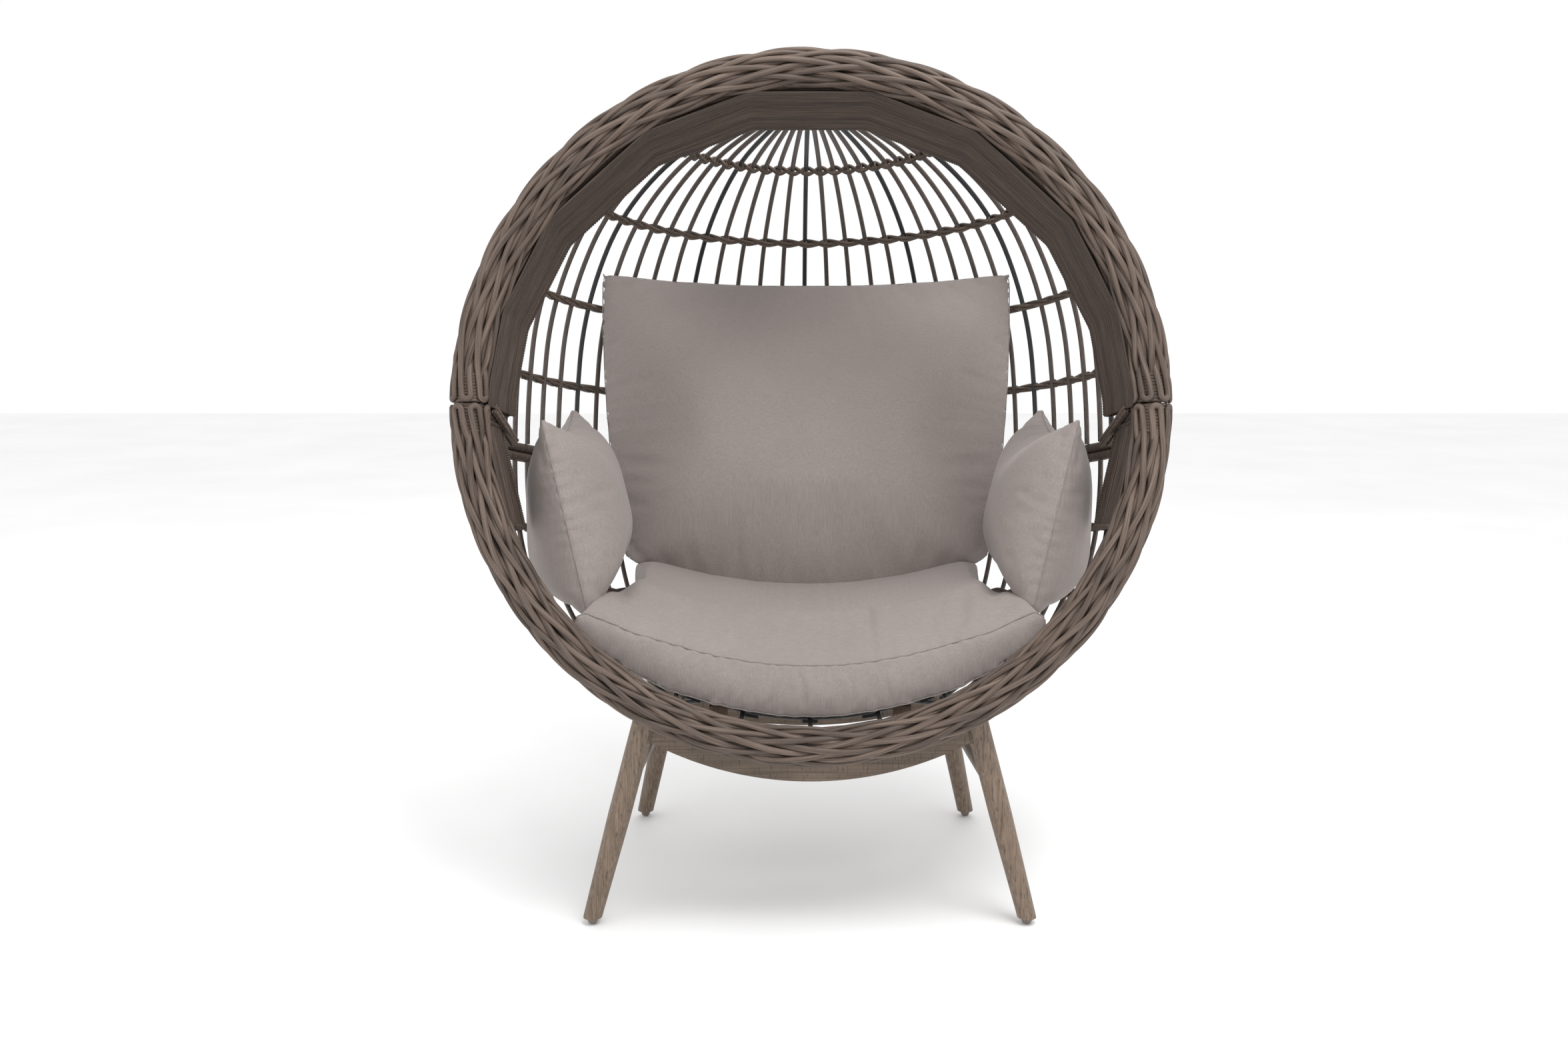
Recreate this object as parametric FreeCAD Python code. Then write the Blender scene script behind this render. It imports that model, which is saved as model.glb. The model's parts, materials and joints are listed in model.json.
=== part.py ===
import FreeCAD
import Part

import math
import os

from FreeCAD import Placement, Rotation, Vector

# Egg chair: a woven basket that leans back on a four-legged base.
# Millimetres. The row frame has +X to the right seen from the front, +Y to the back and +Z up,
# with its origin on the floor under the middle of the overall box.
# The basket has a frame of its own: its origin is the centre of the big front ring, its y runs
# back out of the ring and its z runs up along the ring. Its parts are placed when they are saved.

# ---- driving dimensions ----
RING_OUTER_DIAMETER = 1160.0
BRAID_DIAMETER = 66.0
HOOP_DIAMETER = 25.0
RING_CENTRE_HEIGHT = 864.0
RING_CENTRE_Y = -296.9
BASKET_LEAN = 12.0

SHELL_RADIUS = 541.0
SHELL_AXIS_BACK = 181.0
RAIL_DROP = 40.0
CROWN_RISE = 593.0
CROWN_SQUARENESS = 2.66
BOWL_DROP = 498.0
BOWL_SQUARENESS = 2.4

RIB_DIAMETER = 9.0
RIB_STATION_STEP = 12
RIB_LAST_RUN = 25.0
RIB_PITCH = 90.0 / 16
STEEL_EVERY = 5
CROWN_PLATE_RADIUS = 104.0
CROWN_PLATE_THICKNESS = 6.0
ROW_DIAMETER = 8.0
UPPER_ROW_HEIGHTS = (514.0, 408.0, 249.0, 95.0)
LOWER_ROW_DEPTHS = (187.0, 307.0, 417.0, 502.0)
RAIL_DIAMETER = 16.0
RAIL_SPACING = 17.0
RAIL_END_Z = 14.0

SPAR_ANGLES = (11.0, 31.0, 54.5, 73.0, 87.0)
SPAR_DIAMETER = 8.0
BAND_FRONT_RADIUS = 521.0
BAND_REAR_RADIUS = 511.0
BAND_DEPTH = 150.0
BAND_THICKNESS = 4.0
EDGING_DIAMETER = 13.0
EDGING_DROP = 44.0
SIDE_PANEL_ANGLES = (95.0, 112.0)
SIDE_PANEL_RADIUS = 517.0
SIDE_PANEL_DEPTH = 105.0

ROD_END_GAP = 5.0
ROW_GAP = 1.0
BOWL_RING_END_Z = -455.0
ROW_END_RADIUS = 560.0

SEAT_BAR_DIAMETER = 9.0
SEAT_BAR_RADIUS = 508.0
SEAT_BAR_BACK = 75.0
SEAT_BAR_HALF_ANGLE = 46.0
SEAT_STRUT_DIAMETER = 8.0
SEAT_STRUT_ANGLES = (-37.5, -25.0, -12.5, 0.0, 12.5, 25.0, 37.5)
SEAT_SLAT_WIDTH = 25.0
SEAT_SLAT_THICKNESS = 5.0
SEAT_SLAT_ANGLES = (-22.0, -11.0, 0.0, 11.0, 22.0)
SEAT_REAR_Y = 330.0
SEAT_REAR_LOW = -506.5
SEAT_REAR_END = (412.0, -410.0)

LEG_DIAMETER = 37.5
LEG_FOOT_DIAMETER = 30.0
LEG_TAPER_HEIGHT = 190.0
LEG_WALL = 2.0
LEG_FOOT_HEIGHT = 12.0
FRONT_FOOT = (366.0, -53.0)
FRONT_LEG_TOP = (271.5, -53.0, 350.0)
REAR_FOOT = (324.0, 423.0)
REAR_LEG_TOP = (261.0, 374.0, 285.0)
PLUG_LENGTH = 24.0

APRON_HEIGHT = 43.0
APRON_THICKNESS = 20.0
FRONT_APRON_LOW = 252.0
FRONT_APRON_RADIUS = 543.0
REAR_APRON_LOW = 206.0
REAR_APRON_RADIUS = 760.0
SIDE_RAIL_DIAMETER = 22.0
SIDE_RAIL_HEIGHT = 238.0
# Foot, leg top, apron underside, apron radius and how far below the leg top the apron meets it.
APRONS = {"front": (FRONT_FOOT, FRONT_LEG_TOP, FRONT_APRON_LOW, FRONT_APRON_RADIUS, 20.0),
          "rear": (REAR_FOOT, REAR_LEG_TOP, REAR_APRON_LOW, REAR_APRON_RADIUS, 30.0)}

GLIDE_RADIUS = 8.5
GLIDE_FLAT_RADIUS = 4.0
GLIDE_DOME_HEIGHT = 6.5
STUD_DIAMETER = 8.0
STUD_LENGTH = 20.0

BOLT_DIAMETER = 6.0
BOLT_CLEARANCE = 0.25
BOLT_HEAD = 4.0
NUT_HEIGHT = 5.0
BOLT_TAIL = 10.0
HEXAGON_RADIUS = 5.5
SHELL_BOLT_AZIMUTHS = (-76.0, -38.0, 0.0, 38.0, 76.0)
TAB_WIDTH = 22.0
TAB_REACH = 20.0
TAB_THICKNESS = 4.0
FRONT_BRACKET_X = 150.0
REAR_BRACKET_X = 110.0
# Distance of the brackets from the middle, and the way to the apron's inner face along Y.
BRACKET_SIDES = {"front": (FRONT_BRACKET_X, 1), "rear": (REAR_BRACKET_X, -1)}
BRACKET_WIDTH = 30.0
BRACKET_THICKNESS = 4.0
BRACKET_FOOT = 6.0
BRACKET_HOLE_RISE = 14.0
SADDLE_HEIGHT = 14.0
BASE_BOLT_REACH = 12.0

SEAT_FRONT_Y = 42.0
SEAT_REAR_LIMIT = 385.0
SEAT_UNDER_RADIUS = 497.0
SEAT_UNDER_CENTRE = 1.0
SEAT_TOP_RADIUS = 1000.0
SEAT_TOP_LOW = -419.0
SEAT_BOWL_MARGIN = 16.0

# Seam outlines of the cushions, from the ring's centre in level axes.
BACK_SEAM = ((-385, -66), (-335, -318), (0, -392), (335, -318),
             (385, -66), (388, 199), (0, 221), (-388, 199))
BACK_SEAM_ANCHOR = (0.0, 430.0, -80.0)
BACK_FACING = (0.0, -0.955, 0.297)
BACK_BULGES = (75.0, 55.0)
PILLOW_SEAM = ((430, 45, -50), (447, 190, -40), (430, 335, -60), (400, 350, -190),
               (375, 330, -318), (365, 190, -338), (370, 20, -322), (405, 25, -190))
PILLOW_FACING = (-0.975, 0.0, 0.22)
PILLOW_BULGES = (85.0, 75.0)
BACK_CROWN = 0.62
PILLOW_CROWN = 0.6

GAP = 0.3

ORIGIN = Vector(0, 0, 0)
X_AXIS = Vector(1, 0, 0)
Y_AXIS = Vector(0, 1, 0)
Z_AXIS = Vector(0, 0, 1)

HOOP_RADIUS = RING_OUTER_DIAMETER / 2 - BRAID_DIAMETER / 2
BASKET_PLACE = Placement(Vector(0, RING_CENTRE_Y, RING_CENTRE_HEIGHT), Rotation(X_AXIS, -BASKET_LEAN))
BASE_PLACE = Placement(Vector(0, RING_CENTRE_Y, 0), Rotation())
HANG_PLACE = Placement(Vector(0, RING_CENTRE_Y, RING_CENTRE_HEIGHT), Rotation())


# ---- helpers ----
def save(name, solids, place):
    """Write one node: its solids stay separate bodies in the file."""
    moved = [solid.transformed(place.toMatrix()) for solid in solids]
    shape = moved[0] if len(moved) == 1 else Part.makeCompound(moved)
    shape.exportStep(f"parts/{name}.step")
    for solid in moved:
        if not solid.isValid() or solid.Volume <= 0:
            print("BAD", name, solid.ShapeType, solid.Volume)


def unit(vector):
    return Vector(vector).normalize()


def arc_chain(points, start_direction):
    """Arcs, each tangent to the one before, through the points."""
    edges = []
    direction = unit(start_direction)
    for start, end in zip(points, points[1:]):
        chord = end - start
        along = unit(chord)
        cosine = min(direction.dot(along), 1.0)
        side = direction - along * cosine
        if side.Length < 1e-4:
            edges.append(Part.makeLine(start, end))
        else:
            sagitta = chord.Length / 2 * math.tan(math.acos(cosine) / 2)
            middle = (start + end) / 2 + unit(side) * sagitta
            edges.append(Part.Arc(start, middle, end).toShape())
        direction = along * (2 * cosine) - direction
    return Part.Wire(edges)


def bar_along(wire, start_direction, diameter):
    """A round bar swept along a smooth wire."""
    start = wire.OrderedVertexes[0].Point
    ring = Part.Wire(Part.makeCircle(diameter / 2, start, Vector(start_direction)))
    solid = wire.makePipeShell([ring], True, False)
    if solid.Volume < 0:
        solid.reverse()
    return solid


def rod(start, end, diameter):
    """A straight round rod between two points."""
    return Part.makeCylinder(diameter / 2, (end - start).Length, start, end - start)


def tube(start, end, diameter, bore):
    return rod(start, end, diameter).cut(rod(start, end, bore))


def mirrored(solids):
    return [solid.mirror(ORIGIN, X_AXIS) for solid in solids]


def ring_point(radius, angle, back=0.0):
    """A point in the basket frame at an angle from the ring's top, clockwise seen from the front."""
    turn = math.radians(angle)
    return Vector(radius * math.sin(turn), back, radius * math.cos(turn))


def around_axis(radius, azimuth, height):
    """A point about the shell's upright axis; azimuth 0 is straight back."""
    turn = math.radians(azimuth)
    return Vector(radius * math.sin(turn), SHELL_AXIS_BACK + radius * math.cos(turn), height)


def superellipse(across, rise, squareness, station):
    """Radius and height on a quarter superellipse, at a station from 0 (side) to 90 (top)."""
    turn = math.radians(station)
    power = 2.0 / squareness
    return across * math.cos(turn) ** power, rise * math.sin(turn) ** power


def radius_at(rise, total_rise, squareness):
    return SHELL_RADIUS * (1 - (rise / total_rise) ** squareness) ** (1 / squareness)


def outward(radius, rise, total_rise, squareness):
    """Unit normal of the shell's profile as (outward, upward)."""
    across = radius ** (squareness - 1) / SHELL_RADIUS ** squareness
    upward = rise ** (squareness - 1) / total_rise ** squareness
    length = math.hypot(across, upward)
    return across / length, upward / length


# ---- ring: steel hoops inside wound braid ----
def half_ring(outer_diameter, bore_diameter, upper):
    """Half of the front ring, with a small gap where the two shells meet."""
    gap_angle = math.degrees(0.6 / HOOP_RADIUS)
    centre = Vector(-HOOP_RADIUS, 0, 0)
    profile = Part.Face(Part.Wire(Part.makeCircle(outer_diameter / 2, centre, Z_AXIS)))
    if bore_diameter:
        bore = Part.Face(Part.Wire(Part.makeCircle(bore_diameter / 2, centre, Z_AXIS)))
        profile = profile.cut(bore)
    way = 1 if upper else -1
    profile.rotate(ORIGIN, Y_AXIS, way * gap_angle)
    return profile.revolve(ORIGIN, Y_AXIS, way * (180 - 2 * gap_angle))


def make_ring():
    for name, upper in (("upper", True), ("lower", False)):
        save(f"hoop_{name}", [half_ring(HOOP_DIAMETER, HOOP_DIAMETER - 4, upper)], BASKET_PLACE)
        save(f"braid_{name}", [half_ring(BRAID_DIAMETER, HOOP_DIAMETER + GAP, upper)], BASKET_PLACE)


# ---- mid rails: one on each shell, stacked ----
def hoop_to_hoop_bar(radius, height, diameter, end_x, end_z):
    """A bar round the back of the shell whose two ends bend forward to meet the ring's hoop."""
    side = Vector(radius, SHELL_AXIS_BACK, height)
    front = Vector(end_x, HOOP_DIAMETER / 2 + ROD_END_GAP, end_z)
    forward = bar_along(arc_chain([side, front], -Y_AXIS), Y_AXIS, diameter)
    circle = Part.Face(Part.Wire(Part.makeCircle(diameter / 2, side, Y_AXIS)))
    half_turn = circle.revolve(Vector(0, SHELL_AXIS_BACK, height), Z_AXIS, 180)
    return half_turn.fuse([forward, forward.mirror(ORIGIN, X_AXIS)]).removeSplitter()


def rail_bar(drop, hoop_z):
    end_x = math.sqrt(HOOP_RADIUS ** 2 - hoop_z ** 2)
    return hoop_to_hoop_bar(SHELL_RADIUS, -drop, RAIL_DIAMETER, end_x, hoop_z)


def make_rails():
    save("rail_upper", [rail_bar(RAIL_DROP, RAIL_END_Z)], BASKET_PLACE)
    save("rail_lower", [rail_bar(RAIL_DROP + RAIL_SPACING, -RAIL_END_Z)], BASKET_PLACE)


# ---- ribs ----
def rib(azimuth, from_z, total_rise, squareness, last_radius):
    """A round rib on the shell, from the mid rail to the crown or bowl ring."""
    way = 1 if total_rise > 0 else -1
    rise = abs(total_rise)
    points = []
    for station in range(0, 90, RIB_STATION_STEP):
        across, height = superellipse(SHELL_RADIUS, rise, squareness, station)
        if across > last_radius + RIB_LAST_RUN:
            points.append(around_axis(across, azimuth, from_z + way * height))
    end_height = rise * (1 - (last_radius / SHELL_RADIUS) ** squareness) ** (1 / squareness)
    points.append(around_axis(last_radius, azimuth, from_z + way * end_height))
    lift = way * (RAIL_DIAMETER / 2 + GAP)
    points[0] = points[0] + Vector(0, 0, lift)
    direction = Vector(0, 0, way)
    return bar_along(arc_chain(points, direction), direction, RIB_DIAMETER)


def back_azimuths():
    """Number and azimuth of each rib, on both sides of straight back."""
    count = int(90 / RIB_PITCH)
    return [(number, number * RIB_PITCH) for number in range(-count, count + 1)]


def crown_front_rib(azimuth):
    """A short straight rib over the top, from the crown plate forward to the hoop."""
    clear = HOOP_DIAMETER / 2 + ROD_END_GAP
    reach = (SHELL_AXIS_BACK - clear) / abs(math.cos(math.radians(azimuth)))
    start = around_axis(CROWN_PLATE_RADIUS + 2, azimuth, crown_height(CROWN_PLATE_RADIUS))
    end = around_axis(reach, azimuth, 0)
    end.z = math.sqrt(HOOP_RADIUS ** 2 - end.x ** 2)
    return rod(start, end, RIB_DIAMETER)


def crown_height(radius):
    rise = CROWN_RISE * (1 - (radius / SHELL_RADIUS) ** CROWN_SQUARENESS) ** (1 / CROWN_SQUARENESS)
    return rise - RAIL_DROP


def make_ribs():
    crown_edge = CROWN_PLATE_RADIUS + GAP
    bowl_edge = radius_at(LOWER_ROW_DEPTHS[-1] - RAIL_DROP - RAIL_SPACING, BOWL_DROP, BOWL_SQUARENESS)
    lower_z = -RAIL_DROP - RAIL_SPACING
    groups = {"ribs_upper_steel": [], "ribs_upper_left": [], "ribs_upper_right": [],
              "ribs_lower_steel": [], "ribs_lower_left": [], "ribs_lower_right": []}
    for number, azimuth in back_azimuths():
        kind = "steel" if number % STEEL_EVERY == 0 else ("left" if number < 0 else "right")
        upper = rib(azimuth, -RAIL_DROP, CROWN_RISE, CROWN_SQUARENESS, crown_edge)
        lower = rib(azimuth, lower_z, -BOWL_DROP, BOWL_SQUARENESS, bowl_edge)
        groups[f"ribs_upper_{kind}"].append(upper)
        groups[f"ribs_lower_{kind}"].append(lower)
    for name, solids in groups.items():
        save(name, solids, BASKET_PLACE)
    front = [crown_front_rib(180 + 2 * RIB_PITCH * step) for step in range(-6, 7)]
    save("ribs_crown", front, BASKET_PLACE)


def make_crown_plate():
    height = crown_height(CROWN_PLATE_RADIUS)
    base = Vector(0, SHELL_AXIS_BACK, height - CROWN_PLATE_THICKNESS / 2)
    plate = Part.makeCylinder(CROWN_PLATE_RADIUS, CROWN_PLATE_THICKNESS, base, Z_AXIS)
    save("crown_plate", [plate], BASKET_PLACE)


# ---- rows twined round the outside of the ribs ----
def row(radius, height):
    end_x = math.sqrt(ROW_END_RADIUS ** 2 - height ** 2)
    return hoop_to_hoop_bar(radius, height, ROW_DIAMETER, end_x, height)


def make_rows():
    offset = (RIB_DIAMETER + ROW_DIAMETER) / 2 + ROW_GAP
    for number, height in enumerate(UPPER_ROW_HEIGHTS, 1):
        rise = height + RAIL_DROP
        radius = radius_at(rise, CROWN_RISE, CROWN_SQUARENESS)
        across, upward = outward(radius, rise, CROWN_RISE, CROWN_SQUARENESS)
        bar = row(radius + across * offset, height + upward * offset)
        save(f"row_upper_{number}", [bar], BASKET_PLACE)
    for number, depth in enumerate(LOWER_ROW_DEPTHS[:-1], 1):
        rise = depth - RAIL_DROP - RAIL_SPACING
        radius = radius_at(rise, BOWL_DROP, BOWL_SQUARENESS)
        across, upward = outward(radius, rise, BOWL_DROP, BOWL_SQUARENESS)
        bar = row(radius + across * offset, -depth - upward * offset)
        save(f"row_lower_{number}", [bar], BASKET_PLACE)


def bowl_ring_circle():
    """Radius and height of the steel ring just past the ends of the bowl's ribs."""
    depth = LOWER_ROW_DEPTHS[-1]
    radius = radius_at(depth - RAIL_DROP - RAIL_SPACING, BOWL_DROP, BOWL_SQUARENESS)
    step = (RIB_DIAMETER + SEAT_BAR_DIAMETER) / 2 * math.sqrt(0.5) + ROW_GAP
    return radius - step, -depth - step


def bowl_ring(diameter):
    """The steel ring that closes the bottom of the bowl."""
    radius, height = bowl_ring_circle()
    end_x = math.sqrt(HOOP_RADIUS ** 2 - BOWL_RING_END_Z ** 2)
    return hoop_to_hoop_bar(radius, height, diameter, end_x, BOWL_RING_END_Z)


def make_bowl_ring():
    save("bowl_ring", [bowl_ring(SEAT_BAR_DIAMETER)], BASKET_PLACE)


# ---- hood band: spars back from the hoop, a rear rim and flat woven facets ----
def spar_ends(angle):
    clear = HOOP_DIAMETER / 2 + GAP
    return ring_point(BAND_FRONT_RADIUS, angle, clear), ring_point(BAND_REAR_RADIUS, angle, BAND_DEPTH)


def all_spar_angles():
    return [-angle for angle in reversed(SPAR_ANGLES)] + list(SPAR_ANGLES)


def facet(front_a, rear_a, front_b, rear_b):
    """A flat woven panel between two spars, clear of both and of the rear rim."""
    margin = SPAR_DIAMETER / 2 + GAP
    front_in = (BRAID_DIAMETER / 2 + GAP - front_a.y) / (rear_a.y - front_a.y)
    rear_in = 1 - margin / (rear_a - front_a).Length
    starts = [front_a + (rear_a - front_a) * share for share in (front_in, rear_in)]
    ends = [front_b + (rear_b - front_b) * share for share in (front_in, rear_in)]
    across = [unit(end - start) * margin for start, end in zip(starts, ends)]
    corners = [starts[0] + across[0], ends[0] - across[0], ends[1] - across[1], starts[1] + across[1]]
    normal = unit((corners[1] - corners[0]).cross(corners[3] - corners[0]))
    low = [corner - normal * BAND_THICKNESS / 2 for corner in corners]
    face = Part.Face(Part.makePolygon(low + low[:1]))
    return face.extrude(normal * BAND_THICKNESS)


def edging_ends(side):
    front = Vector(side * (BAND_FRONT_RADIUS - 1), BRAID_DIAMETER / 2 + GAP, -6)
    rear = Vector(side * BAND_REAR_RADIUS, BAND_DEPTH + 14, -EDGING_DROP)
    return front, rear


def make_hood_band():
    angles = all_spar_angles()
    ends = [spar_ends(angle) for angle in angles]
    margin = SPAR_DIAMETER / 2 + GAP
    spars = [rod(front, rear - unit(rear - front) * margin, SPAR_DIAMETER) for front, rear in ends]
    save("hood_spars", spars, BASKET_PLACE)

    rim_points = [rear for front, rear in ends]
    rim = []
    for start, end in zip(rim_points, rim_points[1:]):
        rim.append(rod(start, end, SPAR_DIAMETER))
    knuckles = [Part.makeSphere(SPAR_DIAMETER / 2, point) for point in rim_points]
    whole = rim[0].fuse(rim[1:] + knuckles).removeSplitter()
    save("hood_rear_rim", [whole.Solids[0]], BASKET_PLACE)

    panels = [facet(*first, *second) for first, second in zip(ends, ends[1:])]
    save("hood_band", panels, BASKET_PLACE)
    for name, side in (("left", -1), ("right", 1)):
        front, rear = edging_ends(side)
        save(f"hood_edging_{name}", [rod(front, rear, EDGING_DIAMETER)], BASKET_PLACE)


def make_side_panels():
    """A flat woven panel on each side of the lower shell, just under the seam."""
    clear = HOOP_DIAMETER / 2 + GAP
    front = [ring_point(BAND_FRONT_RADIUS, angle, clear) for angle in SIDE_PANEL_ANGLES]
    rear = [ring_point(SIDE_PANEL_RADIUS, angle, SIDE_PANEL_DEPTH) for angle in SIDE_PANEL_ANGLES]
    right = facet(front[0], rear[0], front[1], rear[1])
    save("side_panels", [right] + mirrored([right]), BASKET_PLACE)


# ---- seat frame under the cushions ----
def seat_bar_point(angle):
    return ring_point(SEAT_BAR_RADIUS, 180 - angle, SEAT_BAR_BACK)


def to_level(point):
    return Rotation(X_AXIS, -BASKET_LEAN).multVec(point)


def seat_front_bar(diameter):
    arc = Part.Arc(*[seat_bar_point(side * SEAT_BAR_HALF_ANGLE) for side in (-1, 0, 1)]).toShape()
    return bar_along(Part.Wire(arc), arc.tangentAt(arc.FirstParameter), diameter)


def seat_rear_height(x):
    """Height of the rear bar's arc, from the ring's centre in level axes."""
    end_x, end_z = SEAT_REAR_END
    rise = end_z - SEAT_REAR_LOW
    radius = (end_x ** 2 + rise ** 2) / (2 * rise)
    return SEAT_REAR_LOW + radius - math.sqrt(radius ** 2 - x ** 2)


def seat_rear_bar():
    places = (-SEAT_REAR_END[0], 0, SEAT_REAR_END[0])
    arc = Part.Arc(*[Vector(x, SEAT_REAR_Y, seat_rear_height(x)) for x in places]).toShape()
    return bar_along(Part.Wire(arc), arc.tangentAt(arc.FirstParameter), SEAT_BAR_DIAMETER)


def seat_strut(angle):
    """A short rod from the ring's hoop back to the front bar."""
    bar = seat_bar_point(angle)
    hoop = ring_point(HOOP_RADIUS, 180 - angle)
    along = unit(bar - hoop)
    start = hoop + along * (HOOP_DIAMETER / 2 + GAP)
    end = bar - along * (SEAT_BAR_DIAMETER / 2 + GAP)
    return rod(start, end, SEAT_STRUT_DIAMETER)


def seat_slat(angle):
    """A flat strip under the two seat bars."""
    front = to_level(seat_bar_point(angle))
    rear = Vector(front.x, SEAT_REAR_Y, seat_rear_height(front.x))
    drop = unit(Vector(front.x, 0, front.z)) * (SEAT_BAR_DIAMETER / 2 + GAP)
    slat = Part.makeBox(SEAT_SLAT_WIDTH, (rear - front).Length, SEAT_SLAT_THICKNESS)
    slat.translate(Vector(-SEAT_SLAT_WIDTH / 2, 0, -SEAT_SLAT_THICKNESS))
    slat.rotate(ORIGIN, Y_AXIS, -angle)
    slat.rotate(ORIGIN, X_AXIS, math.degrees(math.atan2(rear.z - front.z, rear.y - front.y)))
    slat.translate(front + drop)
    return slat


def make_seat_frame():
    save("seat_front_bar", [seat_front_bar(SEAT_BAR_DIAMETER)], BASKET_PLACE)
    save("seat_rear_bar", [seat_rear_bar()], HANG_PLACE)
    save("seat_struts", [seat_strut(angle) for angle in SEAT_STRUT_ANGLES], BASKET_PLACE)
    save("seat_slats", [seat_slat(angle) for angle in SEAT_SLAT_ANGLES], HANG_PLACE)


# ---- base ----
def leg_axis(foot, top):
    return Vector(foot[0], foot[1], 0), Vector(*top)


def leg(foot, top):
    """A round tube, tapered near the floor, cut level at its foot."""
    ground, head = leg_axis(foot, top)
    along = unit(head - ground)

    def at_height(height):
        return ground + along * (height / along.z)

    below = at_height(LEG_FOOT_HEIGHT - 20)
    knee = at_height(LEG_TAPER_HEIGHT)
    taper_length = (knee - below).Length

    def taper(wall):
        low_radius = LEG_FOOT_DIAMETER / 2 - wall
        return Part.makeCone(low_radius, LEG_DIAMETER / 2 - wall, taper_length, below, along)

    outer = taper(0).fuse(rod(knee, head, LEG_DIAMETER))
    inner = taper(LEG_WALL).fuse(rod(knee, head + along, LEG_DIAMETER - 2 * LEG_WALL))
    floor_cut = Part.makeBox(200, 200, 200, Vector(foot[0] - 100, foot[1] - 100, LEG_FOOT_HEIGHT - 200))
    return outer.removeSplitter().cut(inner.removeSplitter()).cut(floor_cut)


def leg_cap(foot, top):
    """The domed cap that closes a leg's upper end."""
    ground, head = leg_axis(foot, top)
    along = unit(head - ground)
    plug = rod(head - along * 12, head - along * 0.2, LEG_DIAMETER - 2 * LEG_WALL - 2 * GAP)
    rim = rod(head + along * 0.2, head + along * 3, LEG_DIAMETER)
    neck = rod(head - along, head + along, LEG_DIAMETER - 2 * LEG_WALL - 2 * GAP)
    return plug.fuse([rim, neck]).removeSplitter()


def leg_plug(foot, top):
    """The insert in a leg's lower end, tapped for the glide's stud."""
    ground, head = leg_axis(foot, top)
    along = unit(head - ground)
    low = ground + along * (LEG_FOOT_HEIGHT / along.z)
    high = ground + along * ((LEG_FOOT_HEIGHT + PLUG_LENGTH) / along.z)
    inner = LEG_FOOT_DIAMETER - 2 * LEG_WALL - 2 * GAP
    body = Part.makeCylinder(inner / 2 - 0.7, (high - low).Length + 6, low - along * 6, along)
    cut = Part.makeBox(200, 200, 200, Vector(foot[0] - 100, foot[1] - 100, LEG_FOOT_HEIGHT + GAP - 200))
    centre = foot_centre(foot, top)
    thread = Part.makeCylinder(STUD_DIAMETER / 2 + 0.05, STUD_LENGTH + 2, centre, Z_AXIS)
    return body.cut(cut).cut(thread)


def foot_centre(foot, top):
    """Where the leg's axis meets the level cut at its foot."""
    ground, head = leg_axis(foot, top)
    along = unit(head - ground)
    return ground + along * (LEG_FOOT_HEIGHT / along.z)


def glide(foot, top):
    """A levelling glide: a dome with a small flat under it and a threaded stud above."""
    centre = foot_centre(foot, top)
    shoulder = LEG_FOOT_HEIGHT - 0.5
    flat_edge = Vector(GLIDE_FLAT_RADIUS, 0, 0)
    bulge = Vector(GLIDE_FLAT_RADIUS + 3.2, 0, 2.4)
    waist = Vector(GLIDE_RADIUS, 0, GLIDE_DOME_HEIGHT)
    corners = [waist, Vector(GLIDE_RADIUS, 0, shoulder), Vector(STUD_DIAMETER / 2, 0, shoulder),
               Vector(STUD_DIAMETER / 2, 0, shoulder + STUD_LENGTH), Vector(0, 0, shoulder + STUD_LENGTH),
               Vector(0, 0, 0)]
    edges = [Part.makeLine(ORIGIN, flat_edge), Part.Arc(flat_edge, bulge, waist).toShape()]
    edges += [Part.makeLine(start, end) for start, end in zip(corners, corners[1:])]
    solid = Part.Face(Part.Wire(edges)).revolve(ORIGIN, Z_AXIS, 360)
    solid.translate(Vector(centre.x, centre.y, 0))
    return solid


def apron_height(x, low, radius):
    """Height of an apron's underside at a distance from the middle."""
    return low + radius - math.sqrt(radius ** 2 - x ** 2)


def apron(half_width, low, radius, y):
    """A curved flat beam between two legs, hollow side up, as an arc of constant height."""
    centre = Vector(0, y - APRON_THICKNESS / 2, low + radius)
    disc = Part.makeCylinder(radius, APRON_THICKNESS, centre, Y_AXIS)
    hole = Part.makeCylinder(radius - APRON_HEIGHT, APRON_THICKNESS, centre, Y_AXIS)
    keep = Part.makeBox(2 * half_width, APRON_THICKNESS, radius, Vector(-half_width, centre.y, low - 1))
    return disc.cut(hole).common(keep)


def leg_room(foot, top):
    """The space a leg takes, with a hair's clearance, for cutting what butts against it."""
    ground, head = leg_axis(foot, top)
    right = rod(ground, head + unit(head - ground) * 20, LEG_DIAMETER + 2 * GAP)
    return [right] + mirrored([right])


def height_on_leg(foot, top, height):
    ground, head = leg_axis(foot, top)
    along = unit(head - ground)
    return ground + along * (height / along.z)


def apron_place(name):
    """Where an apron's mid plane and underside are, and how far out its ends are."""
    foot, top, low, radius, below = APRONS[name]
    joint = height_on_leg(foot, top, top[2] - below)
    return joint.x, joint.y, low, radius


def bracket_hole(name, x):
    """Centre of a bracket's bolt hole, on the apron's mid plane."""
    half_width, y, low, radius = apron_place(name)
    return Vector(x, y, apron_height(x, low, radius) + BRACKET_FOOT + BRACKET_HOLE_RISE)


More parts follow.
